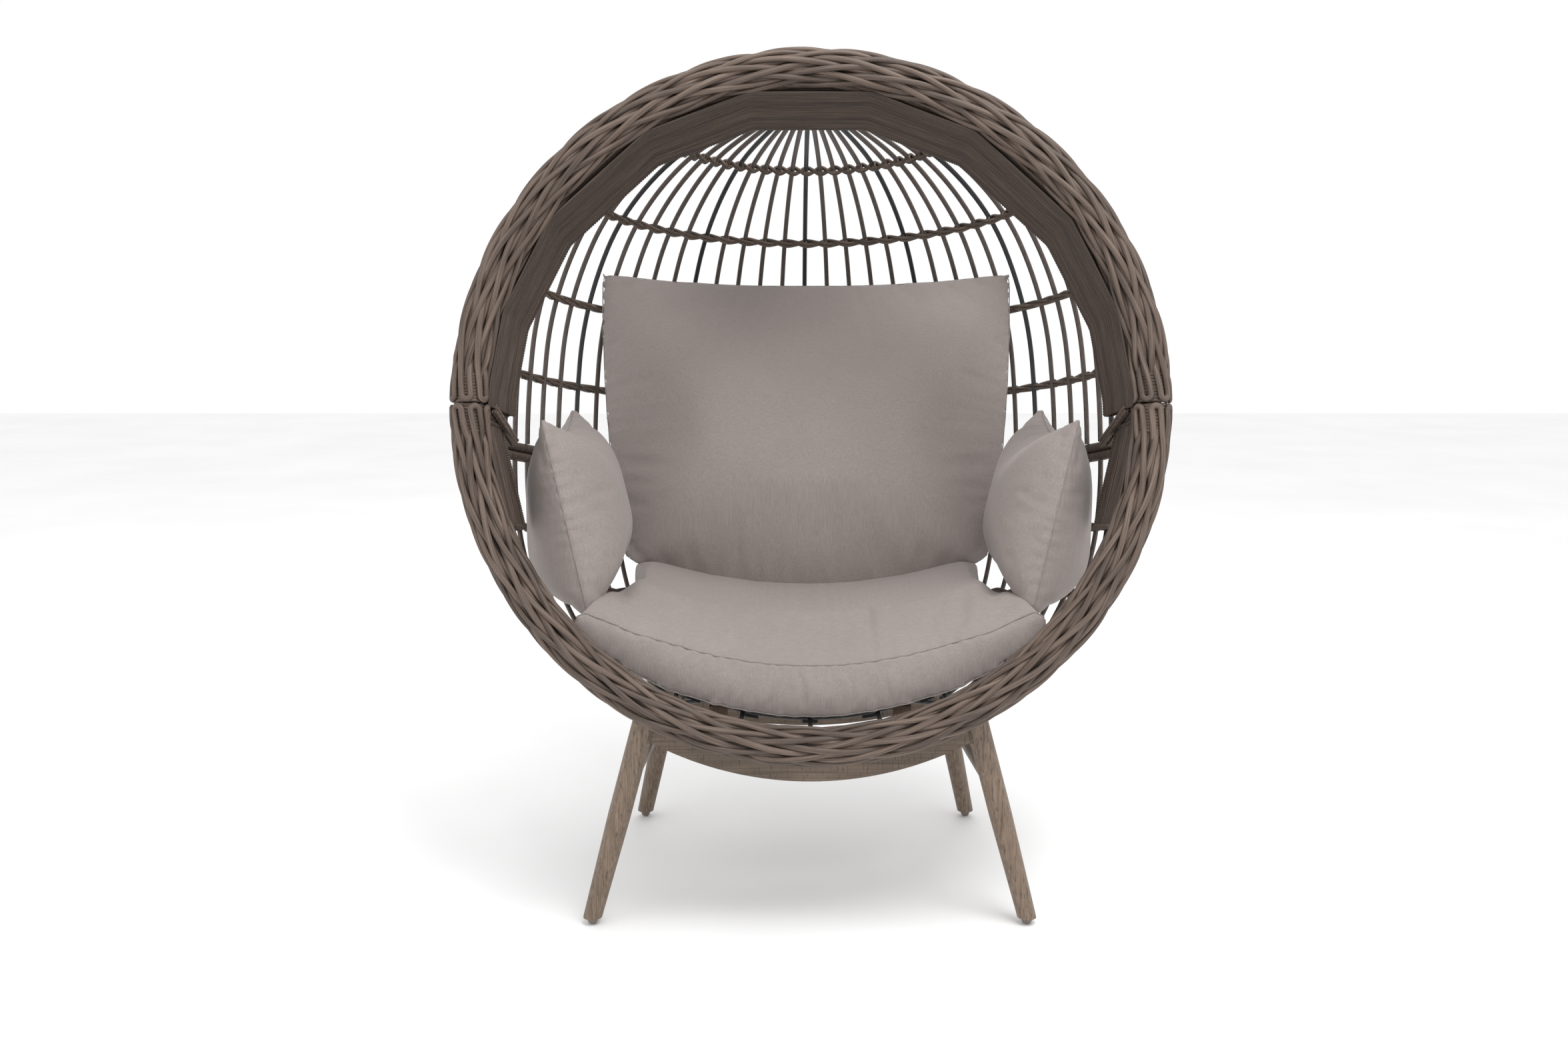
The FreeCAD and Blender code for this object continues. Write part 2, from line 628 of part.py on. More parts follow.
def make_aprons():
    for name, (foot, top, low, radius, below) in APRONS.items():
        half_width, y, low, radius = apron_place(name)
        beam = apron(half_width, low, radius, y).cut(leg_room(foot, top))
        x, inward = BRACKET_SIDES[name]
        for side in (-1, 1):
            hole = bracket_hole(name, side * x)
            end = hole + Vector(0, inward * APRON_THICKNESS, 0)
            start = end - Vector(0, inward * (APRON_THICKNESS / 2 + BASE_BOLT_REACH), 0)
            beam = beam.cut(rod(start, end, BOLT_DIAMETER + 2 * BOLT_CLEARANCE))
        save(f"apron_{name}", beam.Solids[:1], BASE_PLACE)


def make_side_rails():
    start = height_on_leg(FRONT_FOOT, FRONT_LEG_TOP, SIDE_RAIL_HEIGHT)
    end = height_on_leg(REAR_FOOT, REAR_LEG_TOP, SIDE_RAIL_HEIGHT)
    room = leg_room(FRONT_FOOT, FRONT_LEG_TOP) + leg_room(REAR_FOOT, REAR_LEG_TOP)
    right = tube(start, end, SIDE_RAIL_DIAMETER, SIDE_RAIL_DIAMETER - 2 * LEG_WALL).cut(room)
    longest = max(right.Solids, key=lambda solid: solid.Volume)
    save("side_rail_right", [longest], BASE_PLACE)
    save("side_rail_left", mirrored([longest]), BASE_PLACE)


def make_legs():
    plugs = []
    caps = []
    for row_name, foot, top in (("front", FRONT_FOOT, FRONT_LEG_TOP), ("rear", REAR_FOOT, REAR_LEG_TOP)):
        for kind, solid in (("leg", leg(foot, top)), ("glide", glide(foot, top))):
            save(f"{kind}_{row_name}_right", [solid], BASE_PLACE)
            save(f"{kind}_{row_name}_left", mirrored([solid]), BASE_PLACE)
        plugs.append(leg_plug(foot, top))
        caps.append(leg_cap(foot, top))
    save("leg_plugs", plugs + mirrored(plugs), BASE_PLACE)
    save("leg_caps", caps + mirrored(caps), BASE_PLACE)


# ---- fasteners ----
def hexagon(thickness):
    corners = [Vector(HEXAGON_RADIUS, 0, 0)]
    for turn in range(60, 361, 60):
        corners.append(Rotation(Z_AXIS, turn).multVec(corners[0]))
    return Part.Face(Part.makePolygon(corners)).extrude(Vector(0, 0, thickness))


def bolt(length):
    """A hexagon bolt: its head stands on the XY plane and its shank runs down."""
    shank = Part.makeCylinder(BOLT_DIAMETER / 2, length, Vector(0, 0, -length))
    return hexagon(BOLT_HEAD).fuse(shank).removeSplitter()


def bolt_with_nut(head, direction, grip):
    """A hexagon bolt through a grip, with a nut under it."""
    nut = hexagon(NUT_HEIGHT).cut(Part.makeCylinder(BOLT_DIAMETER / 2 + 0.05, NUT_HEIGHT))
    nut.translate(Vector(0, 0, -grip - NUT_HEIGHT - GAP))
    place = Placement(head, Rotation(Z_AXIS, direction))
    return [solid.transformed(place.toMatrix()) for solid in (bolt(grip + BOLT_TAIL), nut)]


def tab(azimuth, height, lowest):
    """A lug on the outside of a mid rail, drilled for a shell bolt."""
    inner = SHELL_RADIUS + RAIL_DIAMETER / 2 + GAP
    plate = Part.makeBox(TAB_WIDTH, TAB_REACH, TAB_THICKNESS, Vector(-TAB_WIDTH / 2, inner, lowest))
    centre = Vector(0, inner + TAB_REACH / 2, lowest)
    lug = plate.cut(Part.makeCylinder(BOLT_DIAMETER / 2 + BOLT_CLEARANCE, TAB_THICKNESS, centre))
    lug.rotate(ORIGIN, Z_AXIS, -azimuth)
    lug.translate(Vector(0, SHELL_AXIS_BACK, height))
    return lug


def make_shell_bolts():
    upper = []
    lower = []
    fixings = []
    meeting = -RAIL_SPACING / 2
    apart = GAP - 0.1
    reach = SHELL_RADIUS + RAIL_DIAMETER / 2 + GAP + TAB_REACH / 2
    for azimuth in SHELL_BOLT_AZIMUTHS:
        upper.append(tab(azimuth, -RAIL_DROP, meeting + apart))
        lower.append(tab(azimuth, -RAIL_DROP, meeting - apart - TAB_THICKNESS))
        head = around_axis(reach, azimuth, -RAIL_DROP + meeting + apart + TAB_THICKNESS + GAP)
        fixings += bolt_with_nut(head, Z_AXIS, 2 * (TAB_THICKNESS + apart + GAP))
    save("shell_tabs_upper", upper, BASKET_PLACE)
    save("shell_tabs_lower", lower, BASKET_PLACE)
    save("shell_bolts", fixings, BASKET_PLACE)


def saddle_bracket(hole, wall_y, bar, bar_room):
    """A strip bolted to an apron's inner face, with a saddle on top for the bar that it carries."""
    left = hole.x - BRACKET_WIDTH / 2
    low = hole.z - BRACKET_HOLE_RISE
    upright = Part.makeBox(BRACKET_WIDTH, BRACKET_THICKNESS, bar.z - low, Vector(left, wall_y, low))
    near = min(wall_y, bar.y - SEAT_BAR_DIAMETER / 2)
    far = max(wall_y + BRACKET_THICKNESS, bar.y + SEAT_BAR_DIAMETER / 2)
    saddle = Part.makeBox(BRACKET_WIDTH, far - near, SADDLE_HEIGHT, Vector(left, near, bar.z - SADDLE_HEIGHT))
    through = Vector(hole.x, wall_y, hole.z)
    drill = Part.makeCylinder(BOLT_DIAMETER / 2 + BOLT_CLEARANCE, BRACKET_THICKNESS, through, Y_AXIS)
    return upright.fuse(saddle).cut(drill).cut(bar_room)


def front_bar_at(x):
    """A point of the seat's front bar, from the floor under the ring's centre."""
    point = to_level(seat_bar_point(math.degrees(math.asin(x / SEAT_BAR_RADIUS))))
    return point + Vector(0, 0, RING_CENTRE_HEIGHT)


def bowl_ring_at(x):
    """A rear point of the bowl ring, from the floor under the ring's centre."""
    radius, height = bowl_ring_circle()
    back = SHELL_AXIS_BACK + math.sqrt(radius ** 2 - x ** 2)
    return to_level(Vector(x, back, height)) + Vector(0, 0, RING_CENTRE_HEIGHT)


def make_brackets():
    """Front brackets carry the seat's front bar; rear ones carry the bowl ring."""
    over_base = Placement(Vector(0, 0, RING_CENTRE_HEIGHT), Rotation(X_AXIS, -BASKET_LEAN)).toMatrix()
    room_diameter = SEAT_BAR_DIAMETER + 2 * GAP
    carried = {"front": (front_bar_at, seat_front_bar(room_diameter).transformed(over_base)),
               "rear": (bowl_ring_at, bowl_ring(room_diameter).transformed(over_base))}
    bolts = []
    for name, (bar_at, bar_room) in carried.items():
        x, inward = BRACKET_SIDES[name]
        solids = []
        for side in (-1, 1):
            hole = bracket_hole(name, side * x)
            face = hole.y + inward * (APRON_THICKNESS / 2 + GAP)
            wall_y = min(face, face + inward * BRACKET_THICKNESS)
            solids.append(saddle_bracket(hole, wall_y, bar_at(side * x), bar_room))
            head = Vector(hole.x, face + inward * (BRACKET_THICKNESS + GAP), hole.z)
            place = Placement(head, Rotation(Z_AXIS, Vector(0, inward, 0)))
            bolts.append(bolt(BRACKET_THICKNESS + BASE_BOLT_REACH - 1).transformed(place.toMatrix()))
        save(f"brackets_{name}", solids, BASE_PLACE)
    save("bracket_bolts", bolts, BASE_PLACE)


# ---- cushions: plain closed solids ----
def bowl_inside(margin):
    """The space inside the lower shell, as a solid of revolution clear of ribs and rows."""
    radius = SHELL_RADIUS - margin
    points = []
    for station in range(0, 91, 15):
        across, height = superellipse(radius, BOWL_DROP - margin, BOWL_SQUARENESS, station)
        points.append(Vector(max(across, 0), 0, -RAIL_DROP - RAIL_SPACING - height))
    points[-1].x = 0
    outline = [Vector(0, 0, 200), Vector(radius, 0, 200)] + points
    solid = Part.Face(Part.makePolygon(outline + outline[:1])).revolve(ORIGIN, Z_AXIS, 360)
    solid.translate(Vector(0, SHELL_AXIS_BACK, 0))
    return solid


def seat_cushion():
    """A dished pad with a crescent front, level on the seat frame, inside the bowl."""
    length = 900.0
    under = Part.makeCylinder(SEAT_UNDER_RADIUS, length, Vector(0, -300, SEAT_UNDER_CENTRE), Y_AXIS)
    dish = Part.makeCylinder(SEAT_TOP_RADIUS, length, Vector(0, -300, SEAT_TOP_LOW + SEAT_TOP_RADIUS), Y_AXIS)
    box = Part.makeBox(1200, SEAT_REAR_LIMIT + 300, 600, Vector(-600, -300, -600))
    pad = under.cut(dish).common(box)
    ahead = Part.makeBox(1400, 1000, 1400, Vector(-700, SEAT_FRONT_Y, -700))
    lean = Placement(ORIGIN, Rotation(X_AXIS, -BASKET_LEAN)).toMatrix()
    ahead = ahead.transformed(lean)
    inside = bowl_inside(SEAT_BOWL_MARGIN).transformed(lean)
    return pad.common(ahead).common(inside)


def middle_of(points):
    total = Vector(0, 0, 0)
    for point in points:
        total += point
    return total / len(points)


def flattened(points, through, normal):
    """The points moved along the normal onto the plane through a point."""
    return [point - normal * (point - through).dot(normal) for point in points]


def pillow(outline, normal, bulges, crown):
    """A closed pad with a flat seam outline and a smaller flat crown on each side of it."""
    centre = middle_of(outline)

    def ring(scale, offset):
        points = [centre + (point - centre) * scale + normal * offset for point in outline]
        return Part.makePolygon(points + points[:1])

    front, rear = bulges
    return Part.makeLoft([ring(crown, -rear), ring(1.0, 0), ring(crown, front)], True, True)


def make_cushions():
    save("seat_cushion", [seat_cushion()], HANG_PLACE)

    facing = unit(BACK_FACING)
    anchor = Vector(*BACK_SEAM_ANCHOR)
    seam = [Vector(x, anchor.y - (z - anchor.z) * facing.z / facing.y, z) for x, z in BACK_SEAM]
    save("back_cushion", [pillow(seam, facing, BACK_BULGES, BACK_CROWN)], HANG_PLACE)

    facing = unit(PILLOW_FACING)
    outline = [Vector(*point) for point in PILLOW_SEAM]
    flat = flattened(outline, middle_of(outline), facing)
    right = pillow(flat, facing, PILLOW_BULGES, PILLOW_CROWN)
    save("pillow_right", [right], HANG_PLACE)
    save("pillow_left", mirrored([right]), HANG_PLACE)


def main():
    os.makedirs("parts", exist_ok=True)
    make_ring()
    make_rails()
    make_ribs()
    make_crown_plate()
    make_rows()
    make_bowl_ring()
    make_hood_band()
    make_side_panels()
    make_seat_frame()
    make_legs()
    make_aprons()
    make_side_rails()
    make_shell_bolts()
    make_brackets()
    make_cushions()


main()
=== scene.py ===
import json
import math
import random

import bmesh
import bpy
import numpy as np
from mathutils import Matrix, Vector
from mathutils.bvhtree import BVHTree
from mathutils.kdtree import KDTree


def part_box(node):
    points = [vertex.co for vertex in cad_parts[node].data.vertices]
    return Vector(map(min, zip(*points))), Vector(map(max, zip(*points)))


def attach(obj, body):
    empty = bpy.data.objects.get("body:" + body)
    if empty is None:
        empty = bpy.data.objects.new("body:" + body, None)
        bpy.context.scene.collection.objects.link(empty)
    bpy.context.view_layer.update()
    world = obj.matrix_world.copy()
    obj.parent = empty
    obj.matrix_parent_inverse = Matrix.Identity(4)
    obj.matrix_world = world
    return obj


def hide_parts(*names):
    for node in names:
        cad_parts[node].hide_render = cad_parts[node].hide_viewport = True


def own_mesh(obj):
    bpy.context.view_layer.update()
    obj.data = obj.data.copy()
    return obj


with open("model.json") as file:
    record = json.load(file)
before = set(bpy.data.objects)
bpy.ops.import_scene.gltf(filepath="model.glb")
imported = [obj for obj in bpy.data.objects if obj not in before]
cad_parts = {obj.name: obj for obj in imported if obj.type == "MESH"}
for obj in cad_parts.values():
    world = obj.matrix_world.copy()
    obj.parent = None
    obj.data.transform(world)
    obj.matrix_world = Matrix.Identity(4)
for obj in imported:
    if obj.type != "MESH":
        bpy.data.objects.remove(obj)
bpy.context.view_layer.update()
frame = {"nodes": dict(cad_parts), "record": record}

NODES = frame["nodes"]

# ---- the basket's own frame: origin at the ring's centre, y back out of the ring, z up along it ----
LEAN = math.radians(12)
BRAID_RADIUS = 0.033
RING_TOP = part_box("braid_upper")[1]
RING_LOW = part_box("braid_lower")[0]
RING_CENTRE = Vector((0, (RING_TOP.y + RING_LOW.y) / 2, (RING_TOP.z + RING_LOW.z) / 2))
CENTRE = np.array(RING_CENTRE)
RING_RADIUS = RING_TOP.x - BRAID_RADIUS
LEVEL = Matrix.Translation(RING_CENTRE)
BASKET = LEVEL @ Matrix.Rotation(-LEAN, 4, "X")

# ---- sizes in metres ----
AXIS_BACK = 0.181
RIB_RADIUS = 0.0045
ROW_OFFSET = 0.0095
RIB_PITCH = math.pi / 32
RIB_REACH = 15
CROWN_RISE, CROWN_SQUARENESS = 0.593, 2.66
BOWL_DROP, BOWL_SQUARENESS = 0.498, 2.4
RAIL_DROP, RAIL_SPACING = 0.040, 0.017
RAIL_RADIUS = 0.008
RAIL_END_Z = 0.014
HOOP_CLEAR = 0.0175
SHELL_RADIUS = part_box("rail_upper")[1].x - RAIL_RADIUS
BAND_ANGLES = (11.0, 31.0, 54.5, 73.0, 87.0)
BAND_FRONT_RADIUS, BAND_REAR_RADIUS = 0.521, 0.511
BAND_DEPTH = 0.150
PANEL_ANGLES = (95.0, 112.0)
PANEL_REAR_RADIUS, PANEL_DEPTH = 0.517, 0.105

SIDES = (("right", 1), ("left", -1))

RANDOM = random.Random(11)


# ---- strands: one mesh of many swept strands ----
TIP_REACHES = (0.6, 0.95)
TIP_SHARES = np.array([0.75, 0.25])


def unit(vector):
    return vector / np.linalg.norm(vector)


def unit_rows(vectors):
    return vectors / np.maximum(np.linalg.norm(vectors, axis=1, keepdims=True), 1e-12)


def carried_normals(tangents):
    """Normals carried along a path without twist."""
    normal = np.cross(tangents[0], (0.31, 0.52, 0.8))
    normals = np.empty_like(tangents)
    for index, tangent in enumerate(tangents):
        normal = unit(normal - tangent * normal.dot(tangent))
        normals[index] = normal
    return normals


def grown(values, added, at_start):
    """The values with a few more before the first or after the last."""
    added = np.asarray(added)
    return np.concatenate([added[::-1], values] if at_start else [values, added])


def rounded(path, wide, thick, tangents, normals):
    """Two more rings at each end make a round tip."""
    for end, way in ((0, -1), (-1, 1)):
        first = end == 0
        away = way * tangents[end] * thick[end]
        path = grown(path, [path[end] + away * reach for reach in TIP_REACHES], first)
        wide = grown(wide, wide[end] * TIP_SHARES, first)
        thick = grown(thick, thick[end] * TIP_SHARES, first)
        tangents = grown(tangents, [tangents[end]] * 2, first)
        normals = grown(normals, [normals[end]] * 2, first)
    return path, wide, thick, tangents, normals


def placed(name, data):
    """A new object of this data, linked to the scene."""
    piece = bpy.data.objects.new(name, data)
    bpy.context.scene.collection.objects.link(piece)
    return piece


def new_piece(name, mesh, material):
    mesh.materials.clear()
    mesh.materials.append(material)
    return placed(name, mesh)


class Strands:
    """Collects strands. Each vertex keeps its place in the strand (grain) and the strand's tone."""

    def __init__(self):
        self.verts, self.grains, self.tones = [], [], []
        self.quads, self.caps = [], []
        self.count = 0

    def add(self, path, wide, thick=None, normals=None, closed=False, sides=8):
        path = np.asarray(path, float)
        wide = np.broadcast_to(np.asarray(wide, float), len(path)).copy()
        thick = wide if thick is None else thick
        thick = np.broadcast_to(np.asarray(thick, float), len(path)).copy()
        steps = np.roll(path, -1, 0) - np.roll(path, 1, 0) if closed else np.gradient(path, axis=0)
        tangents = unit_rows(steps)
        if normals is None:
            normals = carried_normals(tangents)
        else:
            normals = np.asarray(normals, float)
            normals = unit_rows(normals - tangents * np.sum(normals * tangents, 1, keepdims=True))
        if not closed:
            path, wide, thick, tangents, normals = rounded(path, wide, thick, tangents, normals)
        sideways = np.cross(tangents, normals)
        turn = math.tau * np.arange(sides) / sides
        across = wide[:, None] * np.cos(turn)
        out = thick[:, None] * np.sin(turn)
        verts = path[:, None] + across[..., None] * sideways[:, None] + out[..., None] * normals[:, None]
        steps = np.linalg.norm(np.diff(path, axis=0), axis=1)
        along = np.broadcast_to(np.concatenate([[0], np.cumsum(steps)])[:, None], across.shape)
        tone = RANDOM.random()
        self.verts.append(verts.reshape(-1, 3))
        self.grains.append(np.stack([across, out, along + tone * 7], -1).reshape(-1, 3))
        self.tones.append(np.full(len(path) * sides, tone))
        rows = len(path) if closed else len(path) - 1
        here = np.arange(rows)[:, None] * sides
        there = (np.arange(1, rows + 1) % len(path))[:, None] * sides
        k = np.arange(sides)[None, :]
        after = (k + 1) % sides
        quads = np.stack([here + k, there + k, there + after, here + after], -1).reshape(-1, 4)
        self.quads.append(quads + self.count)
        if not closed:
            first = np.arange(sides)[None, :]
            self.caps.append(np.concatenate([first, first[:, ::-1] + (len(path) - 1) * sides]) + self.count)
        self.count += len(path) * sides

    def build(self, name, material, place=BASKET):
        """One object of all the strands, given in the frame of place."""
        verts = np.concatenate(self.verts)
        matrix = np.array(place)
        verts = verts @ matrix[:3, :3].T + matrix[:3, 3]
        quads = np.concatenate(self.quads)
        loops = np.concatenate([quads.ravel()] + [cap.ravel() for cap in self.caps]).astype(np.int32)
        totals = [np.full(len(quads), 4)] + [np.full(len(cap), cap.shape[1]) for cap in self.caps]
        totals = np.concatenate(totals).astype(np.int32)
        starts = np.concatenate([[0], np.cumsum(totals)[:-1]]).astype(np.int32)
        mesh = bpy.data.meshes.new(name)
        mesh.vertices.add(len(verts))
        mesh.vertices.foreach_set("co", verts.astype(np.float32).ravel())
        mesh.loops.add(len(loops))
        mesh.loops.foreach_set("vertex_index", loops)
        mesh.polygons.add(len(totals))
        mesh.polygons.foreach_set("loop_start", starts)
        mesh.polygons.foreach_set("loop_total", totals)
        mesh.update(calc_edges=True)
        mesh.validate()
        mesh.polygons.foreach_set("use_smooth", np.ones(len(mesh.polygons), bool))
        for layer, kind, key, values in (("grain", "FLOAT_VECTOR", "vector", self.grains),
                                         ("tone", "FLOAT", "value", self.tones)):
            values = np.concatenate(values).astype(np.float32).ravel()
            mesh.attributes.new(layer, kind, "POINT").data.foreach_set(key, values)
        return new_piece(name, mesh, material)


def hand_over(piece, body, slot, *nodes):
    """The piece rides on a body and stands for some CAD nodes, which it hides. The slot is not used."""
    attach(piece, body)
    if nodes:
        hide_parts(*nodes)


def wicker_piece(strands, name, material, *nodes):
    """One piece of strands on the chair's body."""
    hand_over(strands.build(name, material), "chair", "wicker", *nodes)


def wobble(length, step, wavelength, size):
    """Smooth seeded random values along a length."""
    knots = np.array([RANDOM.uniform(-1, 1) for _ in range(int(length / wavelength) + 4)])
    return size * np.interp(step, np.arange(len(knots)) * wavelength, knots)


def smooth_step(value):
    value = np.clip(value, 0, 1)
    return value * value * (3 - 2 * value)


# ---- materials ----
class Nodes:
    """A short way to write a material's node tree."""

    def __init__(self, name):
        self.material = bpy.data.materials.new(name)
        self.material.use_nodes = True
        self.tree = self.material.node_tree
        self.shader = self.tree.nodes["Principled BSDF"]

    def feed(self, socket, value):
        """The socket takes another node's output, or a constant of its own."""
        if isinstance(value, bpy.types.NodeSocket):
            self.tree.links.new(value, socket)
        else:
            socket.default_value = value

    def new(self, kind, inputs=(), **values):
        node = self.tree.nodes.new(kind)
        for key, value in values.items():
            setattr(node, key, value)
        for key, value in dict(inputs).items():
            self.feed(node.inputs[key], value)
        return node

    def attribute(self, name, output):
        return self.new("ShaderNodeAttribute", attribute_name=name).outputs[output]

    def place(self):
        return self.new("ShaderNodeTexCoord").outputs["Object"]

    def stretched(self, vector, scale):
        return self.new("ShaderNodeVectorMath", {0: vector, 1: scale}, operation="MULTIPLY").outputs[0]

    def noise(self, vector, scale=1.0, detail=3.0, roughness=0.55):
        inputs = {"Vector": vector, "Scale": scale, "Detail": detail, "Roughness": roughness}
        return self.new("ShaderNodeTexNoise", inputs).outputs["Fac"]

    def ramp(self, factor, stops):
        node = self.new("ShaderNodeValToRGB", {0: factor})
        elements = node.color_ramp.elements
        for place, colour in stops[1:-1]:
            elements.new(place)
        for element, (place, colour) in zip(elements, sorted(stops)):
            element.position = place
            element.color = (*colour, 1)
        return node.outputs[0]

    def maths(self, operation, first, second):
        return self.new("ShaderNodeMath", {0: first, 1: second}, operation=operation).outputs[0]

    def mapped(self, value, low, high, from_low=0.0, from_high=1.0):
        inputs = {"Value": value, "From Min": from_low, "From Max": from_high, "To Min": low, "To Max": high}
        return self.new("ShaderNodeMapRange", inputs).outputs[0]

    def shaded(self, colour, factor):
        """The colour made lighter or darker by a factor."""
        return self.new("ShaderNodeVectorMath", {0: colour, "Scale": factor}, operation="SCALE").outputs[0]

    def finish(self, colour, roughness, height=None, strength=0.0, distance=0.0, **sockets):
        inputs = {"Base Color": colour, "Roughness": roughness}
        if height is not None:
            bump = self.new("ShaderNodeBump", {"Strength": strength, "Distance": distance, "Height": height})
            inputs["Normal"] = bump.outputs[0]
        for name, value in sockets.items():
            inputs[name.replace("_", " ")] = value
        for key, value in inputs.items():
            self.feed(self.shader.inputs[key], value)
        return self.material


def wicker_material(name, dark, middle, light, tone_range=(0.78, 1.18)):
    """Resin wicker: fine lengthwise streaks, small pores, a tone of its own for each strand."""
    n = Nodes(name)
    grain = n.attribute("grain", "Vector")
    streaks = n.noise(n.stretched(grain, (900, 900, 14)), 1.0, 4.0, 0.6)
    patches = n.noise(n.stretched(grain, (60, 60, 9)), 1.0, 2.0)
    pores = n.noise(n.stretched(grain, (1500, 1500, 180)), 1.0, 1.0)
    colour = n.ramp(streaks, ((0.28, dark), (0.52, middle), (0.78, light)))
    tone = n.mapped(n.attribute("tone", "Fac"), *tone_range)
    tone = n.maths("MULTIPLY", tone, n.mapped(patches, 0.75, 1.22, 0.3, 0.7))
    tone = n.maths("MULTIPLY", tone, n.mapped(pores, 0.55, 1.0, 0.24, 0.34))
    height = n.maths("ADD", streaks, n.mapped(pores, -0.6, 0.0, 0.24, 0.34))
    rough = n.mapped(streaks, 0.44, 0.68, 0.3, 0.7)
    return n.finish(n.shaded(colour, tone), rough, height, 0.45, 0.0005, Specular_IOR_Level=0.42)


def streaked_material(name, dark, middle, light, scale, roughness=0.5, strength=0.2, pores=0.0):
    """Streaks that run mostly upright, for CAD pieces without strand grain."""
    n = Nodes(name)
    place = n.place()
    streaks = n.noise(n.stretched(place, scale), 1.0, 5.0, 0.65)
    broad = n.noise(n.stretched(place, (9, 9, 3)), 1.0, 2.0)
    colour = n.ramp(streaks, ((0.3, dark), (0.5, middle), (0.72, light)))
    tone = n.mapped(broad, 0.85, 1.15, 0.3, 0.7)
    if pores:
        marks = n.noise(n.stretched(place, (420, 420, 60)), 1.0, 2.0, 0.5)
        tone = n.maths("MULTIPLY", tone, n.mapped(marks, 1 - pores, 1.0, 0.33, 0.42))
    rough = n.mapped(streaks, roughness - 0.08, roughness + 0.1, 0.3, 0.7)
    return n.finish(n.shaded(colour, tone), rough, streaks, strength, 0.0004)


def steel_material(name, colour, roughness, speckle):
    """Powder coat: near-even colour with a fine orange-peel surface."""
    n = Nodes(name)
    place = n.place()
    peel = n.noise(place, speckle, 2.0)
    dust = n.noise(place, 14.0, 4.0)
    dark = tuple(0.8 * c for c in colour)
    light = tuple(1.35 * c for c in colour)
    tint = n.ramp(dust, ((0.35, dark), (0.5, colour), (0.7, light)))
    rough = n.mapped(dust, roughness - 0.06, roughness + 0.1, 0.3, 0.7)
    return n.finish(tint, rough, peel, 0.12, 0.0003)


def zinc_material(name):
    n = Nodes(name)
    crystals = n.noise(n.place(), 240.0, 3.0)
    colour = n.ramp(crystals, ((0.3, (0.34, 0.34, 0.33)), (0.5, (0.5, 0.5, 0.49)), (0.7, (0.62, 0.62, 0.6))))
    return n.finish(colour, n.mapped(crystals, 0.28, 0.5, 0.3, 0.7), crystals, 0.1, 0.0002, Metallic=1.0)


def fabric_material(name, dark, middle, light):
    """Woven outdoor fabric: fine warp and weft, upright slubs, soft sheen."""
    n = Nodes(name)
    place = n.place()
    slub = n.noise(n.stretched(place, (900, 900, 22)), 1.0, 3.0, 0.6)
    weft = n.noise(n.stretched(place, (90, 90, 1400)), 1.0, 2.0, 0.5)
    broad = n.noise(place, 6.0, 2.0)
    mixed = n.maths("ADD", n.maths("MULTIPLY", slub, 0.7), n.maths("MULTIPLY", weft, 0.3))
    colour = n.ramp(mixed, ((0.34, dark), (0.5, middle), (0.66, light)))
    threads = []
    for bands in ("X", "Z"):
        inputs = {"Vector": place, "Scale": 330.0, "Distortion": 1.2, "Detail": 1.0}
        wave = n.new("ShaderNodeTexWave", inputs, wave_type="BANDS", bands_direction=bands)
        threads.append(wave.outputs["Fac"])
    weave = n.maths("MULTIPLY", *threads)
    height = n.maths("ADD", n.maths("MULTIPLY", weave, 0.6), mixed)
    tone = n.maths("MULTIPLY", n.mapped(broad, 0.97, 1.03, 0.3, 0.7), n.mapped(weave, 0.96, 1.02))
    return n.finish(n.shaded(colour, tone), 0.86, height, 0.16, 0.0004, Sheen_Weight=0.2,
                    Sheen_Roughness=0.5, Specular_IOR_Level=0.22)


WICKER = wicker_material("wicker", (0.038, 0.026, 0.019), (0.112, 0.080, 0.062), (0.205, 0.155, 0.125))
# A near-black copy of the wicker for the fillers under the braid: painted shade in the gaps between the
# strands.
WICKER_PAINTED_SHADE = wicker_material("wicker_painted_shade", (0.016, 0.012, 0.010), (0.034, 0.026, 0.022),
                               (0.058, 0.045, 0.038))
WICKER_FINE = wicker_material("wicker_fine", (0.034, 0.024, 0.018), (0.077, 0.055, 0.043),
                              (0.138, 0.103, 0.083), (0.7, 1.2))
RIB = streaked_material("rib_resin", (0.040, 0.029, 0.024), (0.076, 0.057, 0.048), (0.125, 0.098, 0.084),
                        (700, 700, 30), 0.42)
BLACK = steel_material("black_coat", (0.014, 0.0145, 0.017), 0.38, 900.0)
LEG = streaked_material("leg_paint", (0.085, 0.056, 0.036), (0.165, 0.116, 0.080), (0.240, 0.180, 0.136),
                        (330, 330, 9), 0.46, 0.15, 0.5)
APRON = streaked_material("apron_paint", (0.062, 0.041, 0.026), (0.122, 0.085, 0.057), (0.182, 0.134, 0.098),
                          (9, 330, 330), 0.46, 0.15, 0.5)
PLASTIC = steel_material("moulded_plastic", (0.09, 0.075, 0.065), 0.5, 600.0)
GLIDE = steel_material("glide_plastic", (0.17, 0.14, 0.12), 0.42, 600.0)
ZINC = zinc_material("zinc_plate")
FABRIC = fabric_material("cushion_fabric", (0.243, 0.208, 0.194), (0.286, 0.248, 0.232),
                         (0.325, 0.284, 0.267))
THREAD = fabric_material("seam_thread", (0.20, 0.176, 0.165), (0.25, 0.221, 0.21), (0.31, 0.277, 0.265))
WELD = streaked_material("weld_paint", (0.062, 0.041, 0.026), (0.115, 0.080, 0.054), (0.165, 0.120, 0.088),
                         (200, 200, 200), 0.42)

CAD_FINISHES = {
    "black_steel": BLACK, "wicker_dark": RIB, "leg_paint": LEG, "plastic": PLASTIC,
    "glide_plastic": GLIDE, "zinc": ZINC, "wicker": WICKER, "fabric": FABRIC,
}
NODE_FINISHES = {"apron_front": APRON, "apron_rear": APRON, "brackets_front": WELD, "brackets_rear": WELD}


